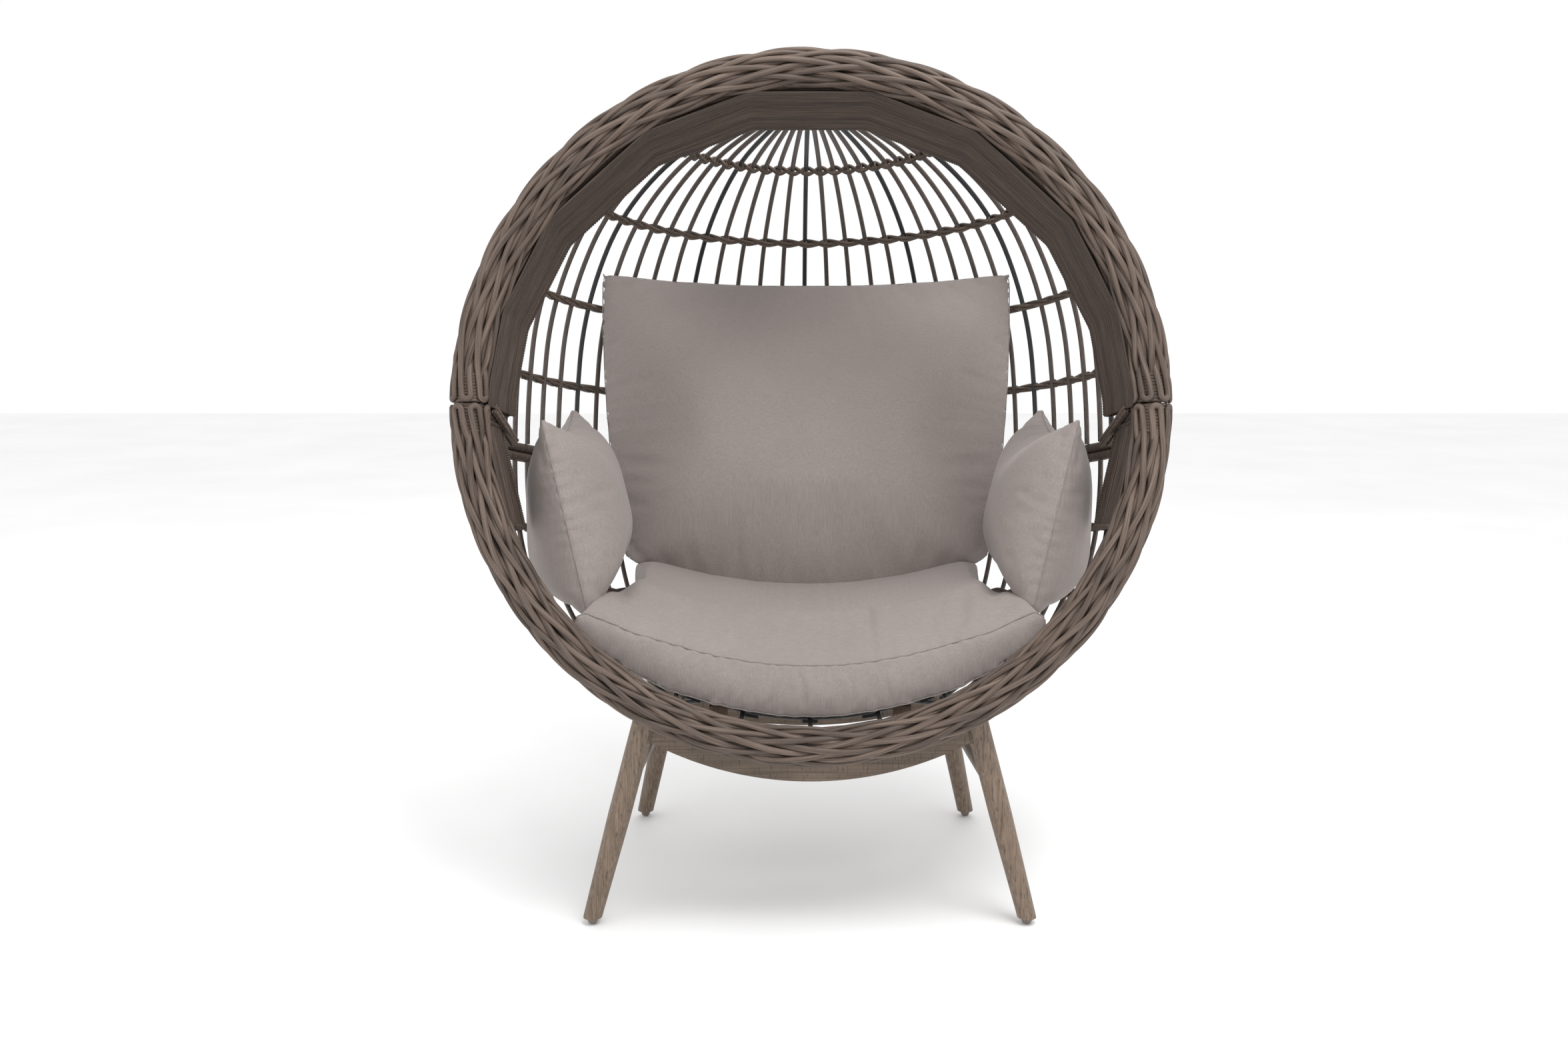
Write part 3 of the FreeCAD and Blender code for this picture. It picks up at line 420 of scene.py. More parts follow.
def finish_cad_nodes():
    """Every CAD node gets a procedural material: the one of its slot in the record, or for the aprons and
    brackets one of their own.
    """
    for row in frame["record"]["subparts"]:
        node = NODES[row["node"]]
        slots = node.data.materials
        if not slots:
            slots.append(None)
        for index in range(len(slots)):
            slots[index] = NODE_FINISHES.get(row["node"], CAD_FINISHES[row["material_slot"]])


# ---- ring braid ----
BRAID_FAMILY = 12
BRAID_WRAP = 1.35
STRAND_WIDE, STRAND_THICK = 0.0050, 0.0042
WEAVE_MID, WEAVE_LIFT = 0.0250, 0.0039
SEAM_GAP = 0.0004
LOOP_LIFT, TUCKED_LIFT = 0.0282, 0.0175
FILLERS, FILLER_LIFT, FILLER_WIDE, FILLER_THICK = 10, 0.0185, 0.0062, 0.0040
BINDING_TURNS, BINDING_PITCH, BINDING_LIFT = 9, 0.0052, 0.0232
BINDING_WIDE, BINDING_THICK = 0.0029, 0.0024


def on_ring(arc, turn, lift):
    """Points round the ring's tube: arc is the length from the ring's top, turn the angle round the tube."""
    angle = arc / RING_RADIUS
    outward = np.stack([np.sin(angle), np.zeros_like(angle), np.cos(angle)], -1)
    back = np.array([0.0, 1.0, 0.0])
    spoke = np.cos(turn)[:, None] * outward + np.sin(turn)[:, None] * back
    return RING_RADIUS * outward + lift[:, None] * spoke, spoke


def squared_wave(phase):
    value = np.cos(phase)
    return value * (1.35 - 0.35 * value ** 2)


def braid_half(strands, core, middle_arc):
    """Two families of strands that cross over and under, with turned loops at both ends."""
    half = math.pi * RING_RADIUS / 2 - SEAM_GAP
    twist = math.tau / BRAID_WRAP
    spacing = math.tau / BRAID_FAMILY
    loop = LOOP_LIFT * spacing / 2
    step = 0.006

    def weave(number, way, reach):
        arc = np.arange(-reach, reach + step / 2, 2 * reach / round(2 * reach / step))
        phase = math.pi * number + way * BRAID_FAMILY * twist * arc / 2 - math.pi / 4
        near_end = smooth_step((np.abs(arc) - (half - 0.075)) / 0.05)
        wander = (1 - near_end) * wobble(2 * half, arc + half, 0.16, 0.10)
        turn = spacing * number + way * twist * arc + wander
        lift = WEAVE_MID + way * WEAVE_LIFT * squared_wave(phase)
        lift = lift + (1 - near_end) * wobble(2 * half, arc + half, 0.09, 0.0006)
        target = LOOP_LIFT if way > 0 else TUCKED_LIFT
        lift = lift * (1 - near_end) + target * near_end
        width = STRAND_WIDE * (1 + wobble(2 * half, arc + half, 0.2, 0.08))
        return arc, turn, lift, width

    bend = np.linspace(0, math.pi, 12)[1:-1]

    def turned_back(there, back, end, way):
        """The loop that joins two strands at one of their ends."""
        middle_turn = (there[1][end] + back[1][end]) / 2
        return (there[0][end] + way * loop * np.sin(bend),
                middle_turn - way * (back[1][end] - middle_turn) * np.cos(bend),
                np.full(len(bend), LOOP_LIFT), np.full(len(bend), STRAND_WIDE))

    for pair in range(0, BRAID_FAMILY, 2):
        reach = half - STRAND_WIDE - loop
        there, back = weave(pair, 1, reach), weave(pair + 1, 1, reach)
        runs = (there, turned_back(there, back, -1, 1), [values[::-1] for values in back],
                turned_back(there, back, 0, -1))
        arc, turn, lift, width = (np.concatenate(values) for values in zip(*runs))
        path, spoke = on_ring(arc + middle_arc, turn, lift)
        strands.add(path, width, STRAND_THICK, spoke, closed=True, sides=10)
    for number in range(BRAID_FAMILY):
        arc, turn, lift, width = weave(number, -1, half - 0.012)
        path, spoke = on_ring(arc + middle_arc, turn, lift)
        strands.add(path, width, STRAND_THICK, spoke, sides=10)

    # Fillers under the strands close the braid's gaps. Their near-black wicker is painted shade seen through
    # those gaps.
    for number in range(FILLERS):
        arc = np.linspace(-half + 0.02, half - 0.02, 120)
        turn = math.tau * number / FILLERS + 0.9 * arc
        path, spoke = on_ring(arc + middle_arc, turn, np.full(len(arc), FILLER_LIFT))
        core.add(path, FILLER_WIDE, FILLER_THICK, spoke, sides=6)

    for way in (-1, 1):
        turn = np.linspace(0, math.tau * BINDING_TURNS, 24 * BINDING_TURNS)
        start = half - 0.002 - BINDING_TURNS * BINDING_PITCH
        arc = way * (start + BINDING_PITCH * turn / math.tau)
        path, spoke = on_ring(arc + middle_arc, turn, np.full(len(turn), BINDING_LIFT))
        strands.add(path, BINDING_WIDE, BINDING_THICK, spoke, sides=8)


def make_braid():
    for name, middle in (("upper", 0.0), ("lower", math.pi * RING_RADIUS)):
        strands, core = Strands(), Strands()
        braid_half(strands, core, middle)
        wicker_piece(strands, f"braid_strands_{name}", WICKER, f"braid_{name}")
        # The fillers' near-black wicker is painted shade between the strands.
        wicker_piece(core, f"braid_painted_shade_core_{name}", WICKER_PAINTED_SHADE)


# ---- bars bent round the shell, and what is wound on them ----
# windings: core radius, half width, half thickness, pitch and points per turn
RAIL_WINDING = (0.0067, 0.0032, 0.0022, 0.0061, 12)
KNOT_WINDING = (0.0066, 0.0024, 0.0018, 0.0046, 12)
RIM_WINDING = (0.0062, 0.0024, 0.0016, 0.0045, 10)
PANEL_WINDING = (0.003, 0.0022, 0.0018, 0.0042, 10)
KNOT_REACH = 0.0055
TWINE_WIDE, TWINE_THICK, TWINE_SPREAD = 0.0030, 0.0025, 0.0026


def arc_to(start, end, heading, count):
    """An arc that leaves start along heading and ends at end."""
    chord = end - start
    along = unit(chord)
    cosine = float(np.clip(heading.dot(along), -1, 1))
    half_turn = math.acos(cosine)
    if half_turn < 1e-4:
        return start + np.linspace(0, 1, count)[1:, None] * chord
    side = unit(heading - along * cosine)
    radius = np.linalg.norm(chord) / (2 * math.sin(half_turn))
    inward = -side * cosine + along * math.sin(half_turn)
    centre = start + radius * inward
    turn = np.linspace(0, 2 * half_turn, count)[1:, None]
    return centre + radius * (heading * np.sin(turn) - inward * np.cos(turn))


def hoop_to_hoop(radius, height, end_x, end_z, step=0.004):
    """Points from the left hoop round the back of the shell to the right hoop."""
    count = int(math.pi * radius / step)
    azimuth = np.linspace(-math.pi / 2, math.pi / 2, count)
    back = np.stack([radius * np.sin(azimuth), AXIS_BACK + radius * np.cos(azimuth),
                     np.full(count, height)], -1)
    front = np.array([end_x, HOOP_CLEAR, end_z])
    side = np.array([radius, AXIS_BACK, height])
    reach = arc_to(side, front, np.array([0.0, -1.0, 0.0]), int(0.17 / step))
    mirror = reach * np.array([-1, 1, 1])
    return np.concatenate([mirror[::-1], back, reach])


def path_length(path):
    steps = np.linalg.norm(np.diff(path, axis=0), axis=1)
    return np.concatenate([[0], np.cumsum(steps)])


def resampled(path, count):
    along = path_length(path)
    wanted = np.linspace(0, along[-1], count)
    return np.stack([np.interp(wanted, along, path[:, axis]) for axis in range(3)], -1)


def wound(strands, path, core, wide, thick, pitch, per_turn):
    """A strand wound round a path at a radius, each turn beside the last."""
    turns = path_length(path)[-1] / pitch
    count = int(turns * per_turn)
    line = resampled(path, count)
    tangents = unit_rows(np.gradient(line, axis=0))
    first = carried_normals(tangents)
    second = np.cross(tangents, first)
    turn = math.tau * np.arange(count) / per_turn
    spoke = np.cos(turn)[:, None] * first + np.sin(turn)[:, None] * second
    size = 1 + wobble(count, np.arange(count), per_turn * 3, 0.06)
    strands.add(line + spoke * core, wide * size, thick, spoke, sides=6)


def make_rails():
    for name, drop, way in (("upper", RAIL_DROP, 1), ("lower", RAIL_DROP + RAIL_SPACING, -1)):
        end_z = way * RAIL_END_Z
        end_x = math.sqrt(RING_RADIUS ** 2 - end_z ** 2)
        path = hoop_to_hoop(SHELL_RADIUS, -drop, end_x, end_z)
        strands = Strands()
        wound(strands, path, *RAIL_WINDING)
        wicker_piece(strands, f"rail_winding_{name}", WICKER, f"rail_{name}")


def shell_normal(radius, rise, total_rise, squareness):
    across = radius ** (squareness - 1) / SHELL_RADIUS ** squareness
    upward = rise ** (squareness - 1) / total_rise ** squareness
    length = math.hypot(across, upward)
    return across / length, upward / length


def row_place(node):
    """Radius and height of a CAD row in the basket frame."""
    inverse = np.array(BASKET.inverted())
    verts = np.array([v.co for v in NODES[node].data.vertices])
    local = verts @ inverse[:3, :3].T + inverse[:3, 3]
    rear = local[local[:, 1] > AXIS_BACK + 0.05]
    return local[:, 0].max() - 0.004, (rear[:, 2].min() + rear[:, 2].max()) / 2


def make_rows():
    """Two twined pairs make each row: at every rib two strands pass outside it and two inside."""
    rows = [(f"row_upper_{number}", 1) for number in range(1, 5)]
    rows += [(f"row_lower_{number}", -1) for number in range(1, 4)]
    for node, way in rows:
        outer_radius, outer_height = row_place(node)
        rail = -RAIL_DROP if way > 0 else -RAIL_DROP - RAIL_SPACING
        total, power = (CROWN_RISE, CROWN_SQUARENESS) if way > 0 else (BOWL_DROP, BOWL_SQUARENESS)
        across, upward = shell_normal(outer_radius, abs(outer_height - rail), total, power)
        radius = outer_radius - across * ROW_OFFSET
        height = outer_height - way * upward * ROW_OFFSET
        end_x = math.sqrt((RING_RADIUS + 0.013) ** 2 - outer_height ** 2)
        path = hoop_to_hoop(radius, height, end_x, outer_height, 0.0035)
        sideways = np.stack([path[:, 0], path[:, 1] - AXIS_BACK], -1)
        sideways = unit_rows(sideways)
        out = np.stack([across * sideways[:, 0], across * sideways[:, 1],
                        np.full(len(path), way * upward)], -1)
        along = path_length(path)
        middle = along[-1] / 2
        phase = math.pi * (along - middle) / (radius * RIB_PITCH)
        rise = np.cross(unit_rows(np.gradient(path, axis=0)), out)
        strands = Strands()
        for stack, start in ((-1, 0.0), (1, 0.0), (-1, math.pi), (1, math.pi)):
            lift = (RIB_RADIUS + 0.0022) * np.cos(phase + start)
            shift = stack * (TWINE_SPREAD + 0.0006 * np.cos(2 * phase))
            shift = shift + TWINE_SPREAD * np.sin(phase + start)
            line = path + out * lift[:, None] + rise * shift[:, None]
            strands.add(line, TWINE_WIDE, TWINE_THICK, out, sides=6)
        for number in range(-RIB_REACH, RIB_REACH + 1):
            centre = middle + number * radius * RIB_PITCH
            near = (along > centre - KNOT_REACH) & (along < centre + KNOT_REACH)
            wound(strands, resampled(path[near], 12), *KNOT_WINDING)
        wicker_piece(strands, f"twined_{node}", WICKER, node)


# ---- hood band, side panels, edging ----
BAND_COUNT, BAND_OFFSETS, BAND_FIRST_DEPTH, BAND_FRONT_DEPTH = 36, (0.0056, -0.0056), -0.003, 0.0128
PANEL_COUNT, PANEL_FIRST_DEPTH, PANEL_FRONT_DEPTH, PANEL_START = 24, -0.002, 0.018, 93.0
BEND_REACH = 0.006
EDGING_FRONT, EDGING_REAR = (0.519, 0.026, -0.004), (0.511, 0.168, -0.046)
EDGING_SHIFT, EDGING_FACE = 0.0056, 0.0040
PLAIT_WIDTH, PLAIT_WAVELENGTH, PLAIT_RADIUS = 0.0032, 0.0135, 0.0020


def ring_point(radius, degrees, back):
    angle = math.radians(degrees)
    return np.array([radius * math.sin(angle), back, radius * math.cos(angle)])


def facet_strand(corners, offset):
    """A strand with straight runs and tight bends at the corners, moved out of the ring by offset."""
    moved = []
    for corner in corners:
        moved.append(corner + unit(corner * np.array([1, 0, 1])) * offset)
    points = [moved[0]]
    for before, corner, after in zip(moved, moved[1:], moved[2:]):
        near = corner + unit(before - corner) * BEND_REACH
        far = corner + unit(after - corner) * BEND_REACH
        points += [near, 0.25 * near + 0.5 * corner + 0.25 * far, far]
    points.append(moved[-1])
    path = np.array(points)
    dense = [path[:1]]
    for start, end in zip(path, path[1:]):
        count = max(2, int(np.linalg.norm(end - start) / 0.02))
        dense.append(start + np.linspace(0, 1, count)[1:, None] * (end - start))
    return np.concatenate(dense)


def band_strands(strands, angles, rear_radius, depth, count, offsets, first_depth):
    """Fine strands side by side from the ring back to the band's rear edge."""
    for offset in offsets:
        for number in range(count):
            share = (number + 0.5) / count
            back = first_depth + share * (depth - first_depth)
            fraction = (back - BAND_FRONT_DEPTH) / (depth - BAND_FRONT_DEPTH)
            radius = BAND_FRONT_RADIUS + fraction * (rear_radius - BAND_FRONT_RADIUS)
            corners = [ring_point(radius, angle, back) for angle in angles]
            path = facet_strand(corners, offset + RANDOM.uniform(-0.0004, 0.0004))
            strands.add(path, (depth - first_depth) / count / 2 * 1.03, 0.0021, sides=6)


def make_hood_band():
    angles = [-angle for angle in reversed(BAND_ANGLES)] + list(BAND_ANGLES)
    ends = [-90.2] + angles + [90.2]
    strands = Strands()
    band_strands(strands, ends, BAND_REAR_RADIUS, BAND_DEPTH - 0.004, BAND_COUNT, BAND_OFFSETS,
                 BAND_FIRST_DEPTH)
    wicker_piece(strands, "hood_band_strands", WICKER_FINE, "hood_band")

    rim = Strands()
    corners = [ring_point(BAND_REAR_RADIUS, angle, BAND_DEPTH) for angle in ends]
    wound(rim, facet_strand(corners, 0.0), *RIM_WINDING)
    wicker_piece(rim, "hood_rim_winding", WICKER_FINE, "hood_rear_rim")

    for name, side in SIDES:
        panel = Strands()
        angles = [side * angle for angle in (PANEL_START, *PANEL_ANGLES)]
        band_strands(panel, angles, PANEL_REAR_RADIUS, PANEL_DEPTH, PANEL_COUNT, (0.0,), PANEL_FIRST_DEPTH)
        rear = [ring_point(PANEL_REAR_RADIUS, angle, PANEL_DEPTH) for angle in angles]
        for end in (0, -1):
            front = ring_point(BAND_FRONT_RADIUS, angles[end], PANEL_FRONT_DEPTH)
            wound(panel, resampled(np.array([front, rear[end]]), 20), *PANEL_WINDING)
        wound(panel, facet_strand(rear, 0.0), *PANEL_WINDING)
        wicker_piece(panel, f"side_panel_strands_{name}", WICKER_FINE, "side_panels")


def plait(strands, path):
    """Three strands plaited flat along a path."""
    sideways = np.array([1.0, 0.0, 0.0])
    line = resampled(path, int(path_length(path)[-1] / 0.0012))
    along = path_length(line)
    up = unit_rows(np.cross(np.gradient(line, axis=0), sideways))
    for number in range(3):
        phase = math.tau * (along / PLAIT_WAVELENGTH + number / 3)
        shifted = line + sideways * (PLAIT_WIDTH * np.sin(phase))[:, None]
        shifted = shifted + up * (PLAIT_RADIUS * 1.1 * np.sin(2 * phase))[:, None]
        strands.add(shifted, PLAIT_RADIUS, PLAIT_RADIUS * 0.85, sides=6)


def make_edging():
    """Two small plaits side by side close each lower end of the hood band."""
    for name, side in SIDES:
        path = np.array([EDGING_FRONT, EDGING_REAR]) * (side, 1, 1)
        front, rear = path
        across = unit(np.cross(rear - front, (side, 0, 0)))
        strands = Strands()
        for shift in (-EDGING_SHIFT, EDGING_SHIFT):
            for face in (-EDGING_FACE, EDGING_FACE):
                plait(strands, path + across * face + np.array([shift, 0, 0]))
        wicker_piece(strands, f"edging_plaits_{name}", WICKER, f"hood_edging_{name}")


COIL_PITCH, COIL_INNER, SPOKES = 0.0062, 0.006, 16


def make_crown_plate():
    """The plate where the ribs meet is one long strand coiled flat, with spokes woven through it."""
    low, high = (Vector(corner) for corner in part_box("crown_plate"))
    inverse = BASKET.inverted()
    middle = inverse @ ((low + high) / 2)
    radius = (high.x - low.x) / 2
    turns = (radius - COIL_INNER) / COIL_PITCH
    turn = np.linspace(0, math.tau * turns, int(turns * 60))
    reach = COIL_INNER + COIL_PITCH * turn / math.tau - 0.003
    path = np.stack([reach * np.cos(turn), middle.y + reach * np.sin(turn),
                     np.full(len(turn), middle.z)], -1)
    up = np.broadcast_to(np.array([0.0, 0.0, 1.0]), path.shape)
    strands = Strands()
    strands.add(path, 0.0031, 0.003, up, sides=8)
    for spoke in range(SPOKES):
        angle = math.tau * spoke / SPOKES
        way = np.array([math.cos(angle), math.sin(angle), 0])
        reach = np.linspace(0.008, radius - COIL_INNER, 60)
        sway = 0.0042 * np.cos(math.pi * (reach - COIL_INNER) / COIL_PITCH)
        line = np.array([0, middle.y, middle.z]) + reach[:, None] * way
        line[:, 2] += sway
        strands.add(line, 0.0022, 0.0014, sides=6)
    wicker_piece(strands, "crown_plate_coil", WICKER, "crown_plate")


# ---- welds where the aprons meet the legs ----
LEG_RADIUS = 0.01875
WELD_HALF_WIDTH, WELD_BEAD, WELD_RIPPLE = 0.0105, 0.0023, 0.0035
# an apron's end, the leg's x at the floor, how far it leans in per metre, the weld's low and high ends
WELD_ROWS = (("front", 0.366, 0.0945 / 0.350, 0.318, 0.350), ("rear", 0.324, 0.063 / 0.285, 0.246, 0.285))


def make_welds():
    for name, foot_x, splay, low, high in WELD_ROWS:
        corner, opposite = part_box(f"apron_{name}")
        middle_y = (corner.y + opposite.y) / 2
        strands = Strands()
        for side in (-1, 1):
            corners = [(-1, high), (-1, low), (1, low), (1, high)]
            outline = np.array([[across * WELD_HALF_WIDTH, height, 0] for across, height in corners])
            outline = resampled(outline, 90)
            across, height = outline[:, 0], outline[:, 1]
            axis_x = foot_x - splay * height
            x = axis_x - np.sqrt(LEG_RADIUS ** 2 - across ** 2) - 0.0006
            path = np.stack([side * x, middle_y + across, height], -1)
            ripple = WELD_BEAD * (1 + 0.22 * np.sin(path_length(path) * math.tau / WELD_RIPPLE))
            strands.add(path, ripple, sides=8)
        piece = strands.build(f"weld_beads_{name}", WELD, Matrix.Identity(4))
        hand_over(piece, "chair", "leg_paint")


# ---- cushions ----
VOXEL = 0.006
SIM_FRAMES = 20
CLOTH = {
    "quality": 3, "mass": 0.35, "tension_stiffness": 12, "compression_stiffness": 10, "shear_stiffness": 6,
    "bending_stiffness": 0.4, "use_pressure": True, "uniform_pressure_force": 4.0, "shrink_min": -0.02,
}
PER_SIDE = 60
WELT_RADIUS = 0.0011


def vertex_rows(mesh, name="co"):
    values = np.empty(len(mesh.vertices) * 3, np.float32)
    mesh.vertices.foreach_get(name, values)
    return values.reshape(-1, 3).astype(float)


def set_co(mesh, co):
    mesh.vertices.foreach_set("co", co.astype(np.float32).ravel())
    mesh.update()


def bmesh_pass(mesh, operation, parts, **options):
    """Runs one bmesh operation on all of a mesh's verts or faces."""
    work = bmesh.new()
    work.from_mesh(mesh)
    operation(work, **{parts: getattr(work, parts)}, **options)
    work.to_mesh(mesh)
    work.free()


def modified(piece, kind, **values):
    """Puts a modifier on the piece and applies it."""
    modifier = piece.modifiers.new(kind, kind)
    for key, value in values.items():
        setattr(modifier, key, value)
    bpy.context.view_layer.update()
    graph = bpy.context.evaluated_depsgraph_get()
    mesh = bpy.data.meshes.new_from_object(piece.evaluated_get(graph))
    piece.modifiers.clear()
    piece.data = mesh


def remeshed(piece):
    modified(piece, "REMESH", mode="VOXEL", voxel_size=VOXEL, use_smooth_shade=True)


def inflate(piece, pinned, cap):
    """Blows the piece up as cloth, holds its seam and caps how far any point moves."""
    start = vertex_rows(piece.data)
    group = piece.vertex_groups.new(name="pin")
    group.add(pinned.tolist(), 1.0, "REPLACE")
    modifier = piece.modifiers.new("fill", "CLOTH")
    cloth = modifier.settings
    for key, value in CLOTH.items():
        setattr(cloth, key, value)
    cloth.effector_weights.gravity = 0
    cloth.vertex_group_mass = "pin"
    modifier.collision_settings.use_collision = False
    scene = bpy.context.scene
    for number in range(1, SIM_FRAMES + 1):
        scene.frame_set(number)
    graph = bpy.context.evaluated_depsgraph_get()
    moved = vertex_rows(piece.evaluated_get(graph).data)
    piece.modifiers.clear()
    piece.vertex_groups.clear()
    scene.frame_set(1)
    shift = moved - start
    reach = np.linalg.norm(shift, axis=1, keepdims=True)
    set_co(piece.data, start + shift * np.minimum(1, cap / np.maximum(reach, 1e-9)))
    inner = piece.vertex_groups.new(name="inner")
    inner.add(np.setdiff1d(np.arange(len(start)), pinned).tolist(), 1.0, "REPLACE")
    modified(piece, "SMOOTH", factor=0.5, iterations=8, vertex_group="inner")
    piece.vertex_groups.clear()


def nearest_on(path, points):
    """Distance from each point to a path, and how far along the path that is."""
    tree = KDTree(len(path))
    for index, point in enumerate(path):
        tree.insert(point, index)
    tree.balance()
    found = [tree.find(point) for point in points]
    along = path_length(path)
    return np.array([hit[2] for hit in found]), along[np.array([hit[1] for hit in found])]


def pucker(piece, seam, height, wavelength, reach):
    """Small gathers that run into a seam."""
    co, normals = vertex_rows(piece.data), vertex_rows(piece.data, "normal")
    distance, along = nearest_on(seam, co)
    total = path_length(seam)[-1]
    uneven = 1 + wobble(total, along, 0.05, 0.8)
    drift = wobble(total, along, 0.03, 1.6)
    ripple = np.sin(math.tau * along / wavelength + drift)
    fade = np.exp(-distance / reach) * smooth_step(distance / 0.004)
    set_co(piece.data, co + normals * (height * ripple * uneven * fade)[:, None])


def creases(piece, strokes):
    """Soft valleys with raised lips along short strokes, given from the ring's centre."""
    co, normals = vertex_rows(piece.data), vertex_rows(piece.data, "normal")
    total = np.zeros(len(co))
    for start, end, depth, width in strokes:
        start, end = CENTRE + start, CENTRE + end
        way = end - start
        length = np.linalg.norm(way)
        way = way / length
        share = (co - start) @ way / length
        bow = 0.06 * length * np.sin(math.pi * np.clip(share, 0, 1))
        up = unit(np.cross(way, np.array([0.3, 1.0, 0.2])))
        off = co - start - np.outer(share * length, way) - np.outer(bow, up)
        across = np.linalg.norm(off, axis=1)
        window = smooth_step((share + 0.15) / 0.4) * smooth_step((1.15 - share) / 0.4)
        ratio = across / width
        total += depth * window * (1.4 * np.exp(-(ratio / 1.9) ** 2) * 0.5 - 1.3 * np.exp(-ratio ** 2))
    set_co(piece.data, co + normals * total[:, None])


def seam_line(piece, path, name, body):
    """A stitched welt that lies on the piece along a path."""
    mesh = piece.data
    polygons = [tuple(p.vertices) for p in mesh.polygons]
    tree = BVHTree.FromPolygons(vertex_rows(mesh).tolist(), polygons)
    found = [tree.find_nearest(Vector(point)) for point in path]
    line, normals = (np.array([hit[part] for hit in found]) for part in (0, 1))
    closed = np.linalg.norm(path[0] - path[-1]) < 1e-6
    if closed:
        line, normals = line[:-1], normals[:-1]
    for _ in range(3):
        line[1:-1] = 0.25 * line[:-2] + 0.5 * line[1:-1] + 0.25 * line[2:]
    strands = Strands()
    lifted = line + normals * WELT_RADIUS * 0.35
    strands.add(lifted, WELT_RADIUS, WELT_RADIUS, normals, closed=closed, sides=8)
    seam = strands.build(name, THREAD, Matrix.Identity(4))
    hand_over(seam, body, "fabric")
    return seam


def seam_outline(points, facing, ear, side=1):
    """A closed flat outline with bowed sides. The points are corner, middle, corner, middle and so on;
    the corners stand out by ear."""
    points = np.array(points) * (side, 1, 1)
    normal = unit(np.array(facing) * (side, 1, 1))
    centre = points.mean(0)
    points = points - np.outer((points - centre) @ normal, normal)
    corners = points[::2] - centre
    corners = centre + corners * (1 + ear / np.linalg.norm(corners, axis=1, keepdims=True))
    share = np.linspace(0, 1, PER_SIDE, endpoint=False)[:, None]
    sides = []
    for index, start in enumerate(corners):
        end = corners[(index + 1) % len(corners)]
        control = 2 * points[2 * index + 1] - (start + end) / 2
        sides.append((1 - share) ** 2 * start + 2 * share * (1 - share) * control + share ** 2 * end)
    return np.concatenate(sides) + CENTRE, normal


def pillow_form(name, outline, normal, front, rear, sag):
    """A closed crowned form inside a seam outline. Its rear is fuller low down by sag."""
    centre = outline.mean(0)
    shares = np.concatenate([[1.0, 0.985, 0.96], np.linspace(0.92, 0.06, 22)])
    count = len(outline)
    to_corner = np.abs(2 * (np.arange(count) % PER_SIDE) / PER_SIDE - 1)
    pinch = to_corner ** 5
    verts, faces = [outline], []
    heights = outline[:, 2] - centre[2]
    heights = heights / np.abs(heights).max()
    for bulge, low in ((front, 0.0), (-rear, sag)):
        for share in shares[1:]:
            height = bulge * (1 - share ** 2.3) ** 0.72 * (1 - 0.55 * pinch * share ** 4)
            height = height * (1 - low * share * heights)
            verts.append(centre + (outline - centre) * share + np.outer(height, normal))
    verts = np.concatenate(verts)
    rings = len(shares) - 1
    turn = np.arange(count)
    for side, flip in ((0, 1), (1, -1)):
        base = count + side * rings * count
        levels = [turn] + [base + ring * count + turn for ring in range(rings)]
        for outer, inner in zip(levels, levels[1:]):
            quads = np.stack([outer, np.roll(outer, -1), np.roll(inner, -1), inner], -1)
            faces += quads[:, ::flip].tolist()
        faces.append(levels[-1][::flip].tolist())
    mesh = bpy.data.meshes.new(name)
    mesh.from_pydata(verts.tolist(), [], faces)
    bmesh_pass(mesh, bmesh.ops.recalc_face_normals, "faces")
    return new_piece(name, mesh, FABRIC)


def make_pillow(node, seam_points, facing, bulges, strokes, ear, side=1, sag=0.0):
    outline, normal = seam_outline(seam_points, facing, ear, side)
    piece = pillow_form(f"{node}_cover", outline, normal, *bulges, sag)
    remeshed(piece)
    seam = np.concatenate([outline, outline[:1]])
    distance, _ = nearest_on(seam, vertex_rows(piece.data))
    inflate(piece, np.nonzero(distance < PILLOW_PINNED)[0], PILLOW_REACH)
    modified(piece, "SUBSURF", levels=1, render_levels=1)
    pucker(piece, seam, *PILLOW_PUCKER)
    creases(piece, strokes)
    hand_over(piece, node, "fabric", node)
    seam_line(piece, seam, f"{node}_seam", node)


# Seams from the ring's centre in level axes, metres: corner, middle, corner, middle and so on.
BACK_FACING = (0.0, -0.955, 0.297)
BACK_SEAM_XZ = ((-0.335, -0.318), (0.0, -0.392), (0.335, -0.318), (0.385, -0.066),
                (0.388, 0.204), (0.0, 0.187), (-0.388, 0.204), (-0.385, -0.066))
BACK_ANCHOR_Y, BACK_ANCHOR_Z = 0.430, -0.080
BACK_BULGES = (0.072, 0.045)
PILLOW_FACING = (-0.975, 0.0, 0.22)
PILLOW_SEAM = ((0.430, 0.045, -0.042), (0.447, 0.190, -0.072), (0.430, 0.335, -0.052), (0.404, 0.340, -0.190),
               (0.375, 0.330, -0.322), (0.364, 0.190, -0.332), (0.358, 0.020, -0.335), (0.406, 0.016, -0.190))
PILLOW_BULGES = (0.078, 0.090)
# pinned this near the seam, blown out this far at most; puckers: height, wavelength and reach
PILLOW_PINNED, PILLOW_REACH, PILLOW_PUCKER = 0.010, 0.026, (0.0009, 0.023, 0.018)
SEAT_PINNED, SEAT_REACH, SEAT_PUCKER = 0.013, 0.022, (0.0011, 0.026, 0.02)
SEAT_UNDER_RADIUS, SEAT_UNDER_CENTRE = 0.497, 0.001
SEAT_TOP_RADIUS, SEAT_TOP_LOW = 1.0, -0.419
SEAT_FRONT = 0.042
SEAT_CROWN, SEAT_LIP, SEAT_END_LIP = 0.032, 0.011, 0.012
SEAT_TIP_SHARE, SEAT_TIP_RISE, SEAT_END_SWELL = 1.11, 0.022, 0.024
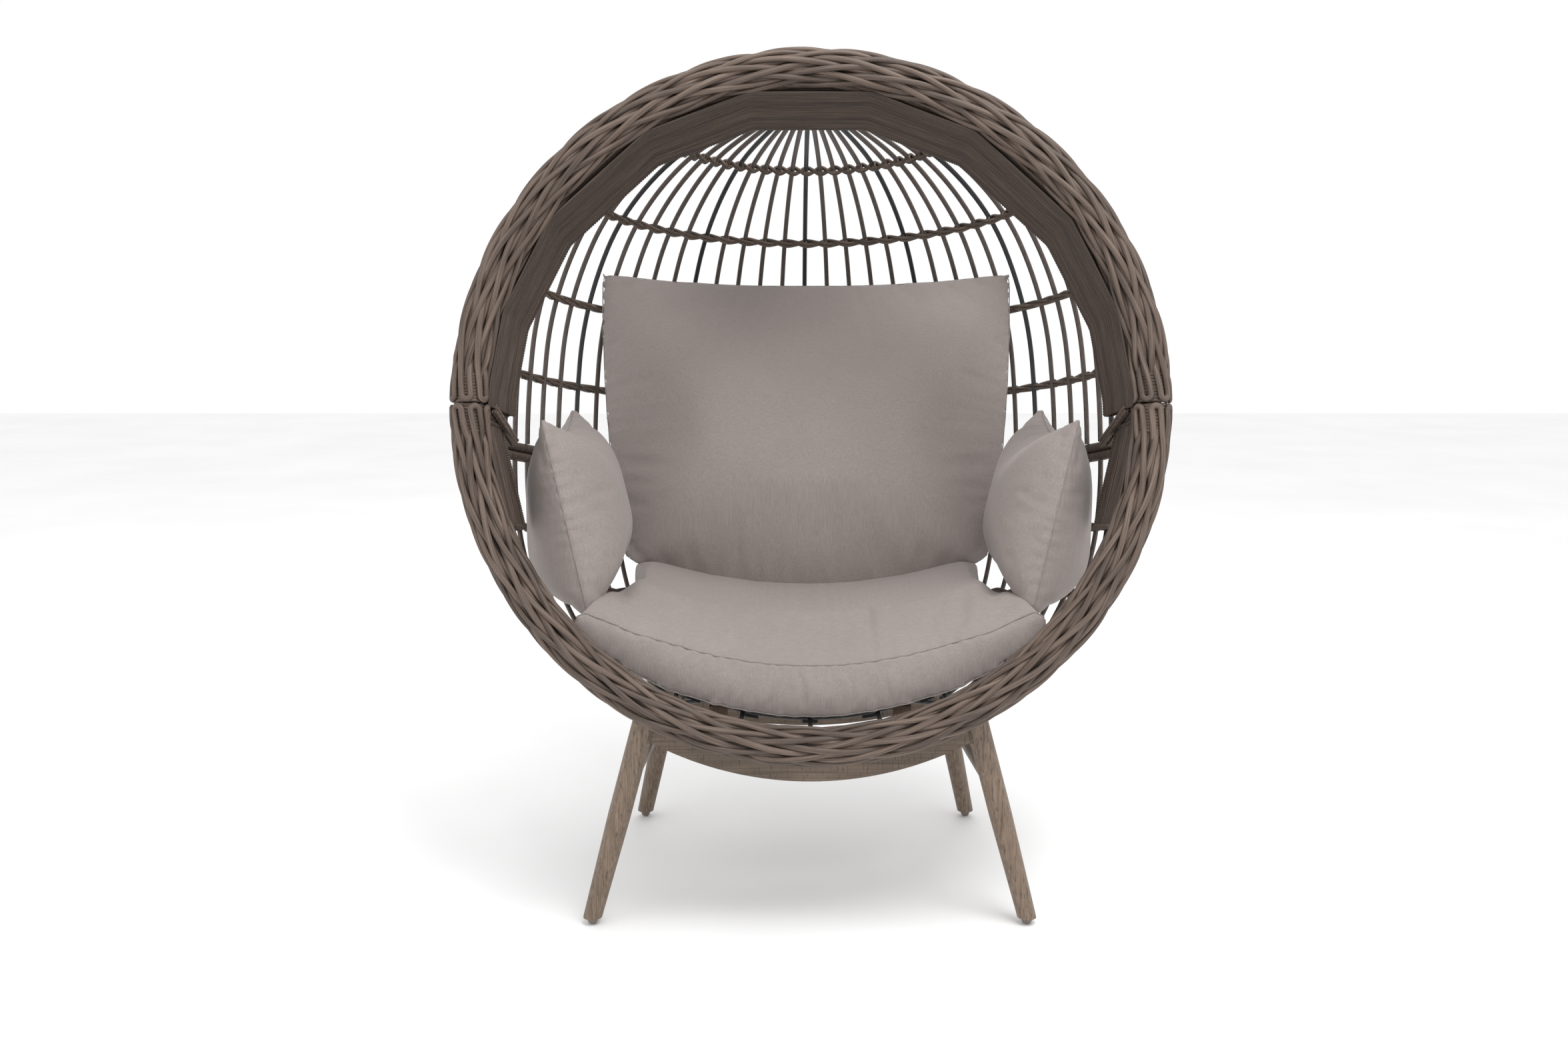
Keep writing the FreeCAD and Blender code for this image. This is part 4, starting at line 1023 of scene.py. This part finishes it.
# creases: start, end, depth and width, or for the seat: x, tilt and depth
BACK_STROKES = (
    ((0.385, 0.43, 0.125), (0.16, 0.36, 0.150), 0.0030, 0.009),
    ((0.375, 0.40, 0.02), (0.20, 0.34, 0.045), 0.0028, 0.009),
    ((-0.385, 0.43, 0.14), (-0.23, 0.37, 0.150), 0.0020, 0.008),
    ((-0.10, 0.42, 0.20), (-0.05, 0.36, 0.13), 0.0018, 0.008),
    ((0.10, 0.42, 0.20), (0.07, 0.36, 0.12), 0.0018, 0.008),
)
PILLOW_STROKES = (
    ((0.345, 0.07, -0.20), (0.36, 0.24, -0.23), 1.4 * 0.0028, 0.010),
    ((0.335, 0.05, -0.26), (0.36, 0.20, -0.285), 1.4 * 0.0026, 0.010),
    ((0.36, 0.05, -0.15), (0.34, 0.16, -0.155), 1.4 * 0.0018, 0.010),
    ((0.425, 0.05, -0.26), (0.43, 0.16, -0.24), 1.4 * 0.0026, 0.010),
)
SEAT_STROKES = ((-0.055, -0.012, 0.0022), (-0.018, 0.006, 0.0030), (0.020, -0.004, 0.0026),
                (0.060, 0.010, 0.0024), (0.115, 0.016, 0.0018), (-0.12, -0.02, 0.0016))


def lip_depth(x):
    """How far the seat's front lip hangs below its underside: more towards the ends."""
    return SEAT_LIP + SEAT_END_LIP * smooth_step((np.abs(x) - 0.10) / 0.16)


def tip_rise(x, upper):
    """How much higher the seat's ends sit. Its top rises more, but not at the tips."""
    ends = (np.abs(x) / 0.35) ** 2
    return SEAT_TIP_RISE * ends + upper * SEAT_END_SWELL * ends * smooth_step((0.354 - np.abs(x)) / 0.03)


def seat_edges():
    """The upper and lower edges of the seat's front face, in the row frame."""
    edges = []
    for radius, centre in ((SEAT_TOP_RADIUS, SEAT_TOP_LOW + SEAT_TOP_RADIUS),
                           (SEAT_UNDER_RADIUS, SEAT_UNDER_CENTRE)):
        x = np.linspace(-0.349, 0.349, 240)
        z = centre - np.sqrt(radius ** 2 - x ** 2)
        y = (SEAT_FRONT + z * math.sin(LEAN)) / math.cos(LEAN)
        if radius == SEAT_UNDER_RADIUS:
            spoke = np.stack([x, z - centre], -1) / radius
            hang = lip_depth(x)
            x, z = x + spoke[:, 0] * hang, z + spoke[:, 1] * hang
        rise = tip_rise(x, float(radius == SEAT_TOP_RADIUS))
        edges.append(np.stack([x * SEAT_TIP_SHARE, y, z + rise], -1) + CENTRE)
    return edges


def fuller_seat(co, normals):
    """The seat's plain solid stuffed: a crowned top, a wider front and a lower lip before the frame bar."""
    local = co - CENTRE
    behind = local[:, 1] * math.cos(LEAN) - local[:, 2] * math.sin(LEAN) - SEAT_FRONT
    upward = smooth_step(normals[:, 2] / 0.5)
    crown = upward * SEAT_CROWN * smooth_step((behind - 0.004) / 0.13)
    lip = smooth_step(1 - behind / 0.035)
    spoke = np.stack([local[:, 0], np.zeros(len(co)), local[:, 2] - SEAT_UNDER_CENTRE], -1)
    depth = np.linalg.norm(spoke, axis=1, keepdims=True)
    low = smooth_step((depth[:, 0] - 0.44) / 0.055)
    moved = co + (spoke / depth) * (lip_depth(local[:, 0]) * lip * low)[:, None]
    moved[:, 2] += crown + tip_rise(local[:, 0], upward) * smooth_step(1 - behind / 0.22)
    moved[:, 0] = moved[:, 0] * (1 + (SEAT_TIP_SHARE - 1) * smooth_step(1 - behind / 0.22))
    return moved


def make_seat():
    mesh = NODES["seat_cushion"].data.copy()
    piece = new_piece("seat_cushion_cover", mesh, FABRIC)
    bmesh_pass(mesh, bmesh.ops.remove_doubles, "verts", dist=1e-5)
    remeshed(piece)
    modified(piece, "SMOOTH", factor=0.5, iterations=8)
    set_co(piece.data, fuller_seat(vertex_rows(piece.data), vertex_rows(piece.data, "normal")))
    upper, lower = seat_edges()
    co = vertex_rows(piece.data)
    nearest = np.minimum(nearest_on(upper, co)[0], nearest_on(lower, co)[0])
    inflate(piece, np.nonzero(nearest < SEAT_PINNED)[0], SEAT_REACH)
    modified(piece, "SUBSURF", levels=1, render_levels=1)
    for edge in (upper, lower):
        pucker(piece, edge, *SEAT_PUCKER)
    creases(piece, [((x, -0.047, -0.432), (x + tilt, -0.062, -0.488), 1.2 * depth, 0.006)
                    for x, tilt, depth in SEAT_STROKES])
    hand_over(piece, "seat_cushion", "fabric", "seat_cushion")
    seams = [seam_line(piece, upper, "seat_cushion_seam_upper", "seat_cushion"),
             seam_line(piece, lower, "seat_cushion_seam_lower", "seat_cushion")]
    for soft in (piece, *seams):
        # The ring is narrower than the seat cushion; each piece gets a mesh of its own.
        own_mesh(soft)


def make_cushions():
    make_seat()
    slope = -BACK_FACING[2] / BACK_FACING[1]
    seam = [(x, BACK_ANCHOR_Y + (z - BACK_ANCHOR_Z) * slope, z) for x, z in BACK_SEAM_XZ]
    make_pillow("back_cushion", seam, BACK_FACING, BACK_BULGES, BACK_STROKES, 0.014)
    for name, side in (("pillow_left", -1), ("pillow_right", 1)):
        strokes = [(np.array(start) * (side, 1, 1), np.array(end) * (side, 1, 1), depth, width)
                   for start, end, depth, width in PILLOW_STROKES]
        make_pillow(name, PILLOW_SEAM, PILLOW_FACING, PILLOW_BULGES, strokes, 0.026, side, 0.45)


# ---- floor, light, camera ----
FLOOR_REACH = 9.0
# name, place, power and size
LIGHTS = (("key", (0.8, -1.4, 3.4), 66, 1.6), ("fill", (-2.6, -1.8, 1.7), 8, 2.4),
          ("rear", (0.4, 2.8, 2.6), 25, 2.4))
CAMERA_FROM_RING = (-0.043, -2.2, 0.186)
CAMERA_DOWN, CAMERA_LENS = 9.77, 31.47


def make_stage():
    n = Nodes("floor_pale")
    cloud = n.noise(n.place(), 1.5, 2.0)
    tint = n.ramp(cloud, ((0.3, (0.9, 0.9, 0.9)), (0.5, (0.92, 0.92, 0.92)), (0.7, (0.94, 0.94, 0.94))))
    mesh = bpy.data.meshes.new("floor")
    corners = [(x * FLOOR_REACH, y * FLOOR_REACH, 0) for x, y in ((-1, -1), (1, -1), (1, 1), (-1, 1))]
    mesh.from_pydata(corners, [], [(0, 1, 2, 3)])
    new_piece("floor", mesh, n.finish(tint, 0.9))

    bpy.context.scene.view_settings.view_transform = "Standard"
    world = bpy.data.worlds.new("studio")
    world.use_nodes = True
    sockets = world.node_tree.nodes["Background"].inputs
    sockets["Color"].default_value, sockets["Strength"].default_value = (1, 1, 1, 1), 1.0
    bpy.context.scene.world = world

    target = Vector((0, RING_CENTRE.y + 0.15, 0.8))
    for name, place, power, size in LIGHTS:
        light = bpy.data.lights.new(name, "AREA")
        light.energy, light.size = power, size
        lamp = placed(name, light)
        lamp.location = place
        lamp.rotation_euler = (target - Vector(place)).to_track_quat("-Z", "Y").to_euler()


def make_camera():
    """The viewing angle: 2.2 m in front of the ring's centre, a little above it, looking down 9.8 degrees."""
    data = bpy.data.cameras.new("camera")
    data.lens = CAMERA_LENS
    camera = placed("camera", data)
    camera.location = RING_CENTRE + Vector(CAMERA_FROM_RING)
    camera.rotation_euler = (math.radians(90 - CAMERA_DOWN), 0, 0)
    bpy.context.scene.camera = camera


finish_cad_nodes()
make_braid()
make_rails()
make_rows()
make_hood_band()
make_edging()
make_crown_plate()
make_welds()
make_cushions()
make_stage()
make_camera()
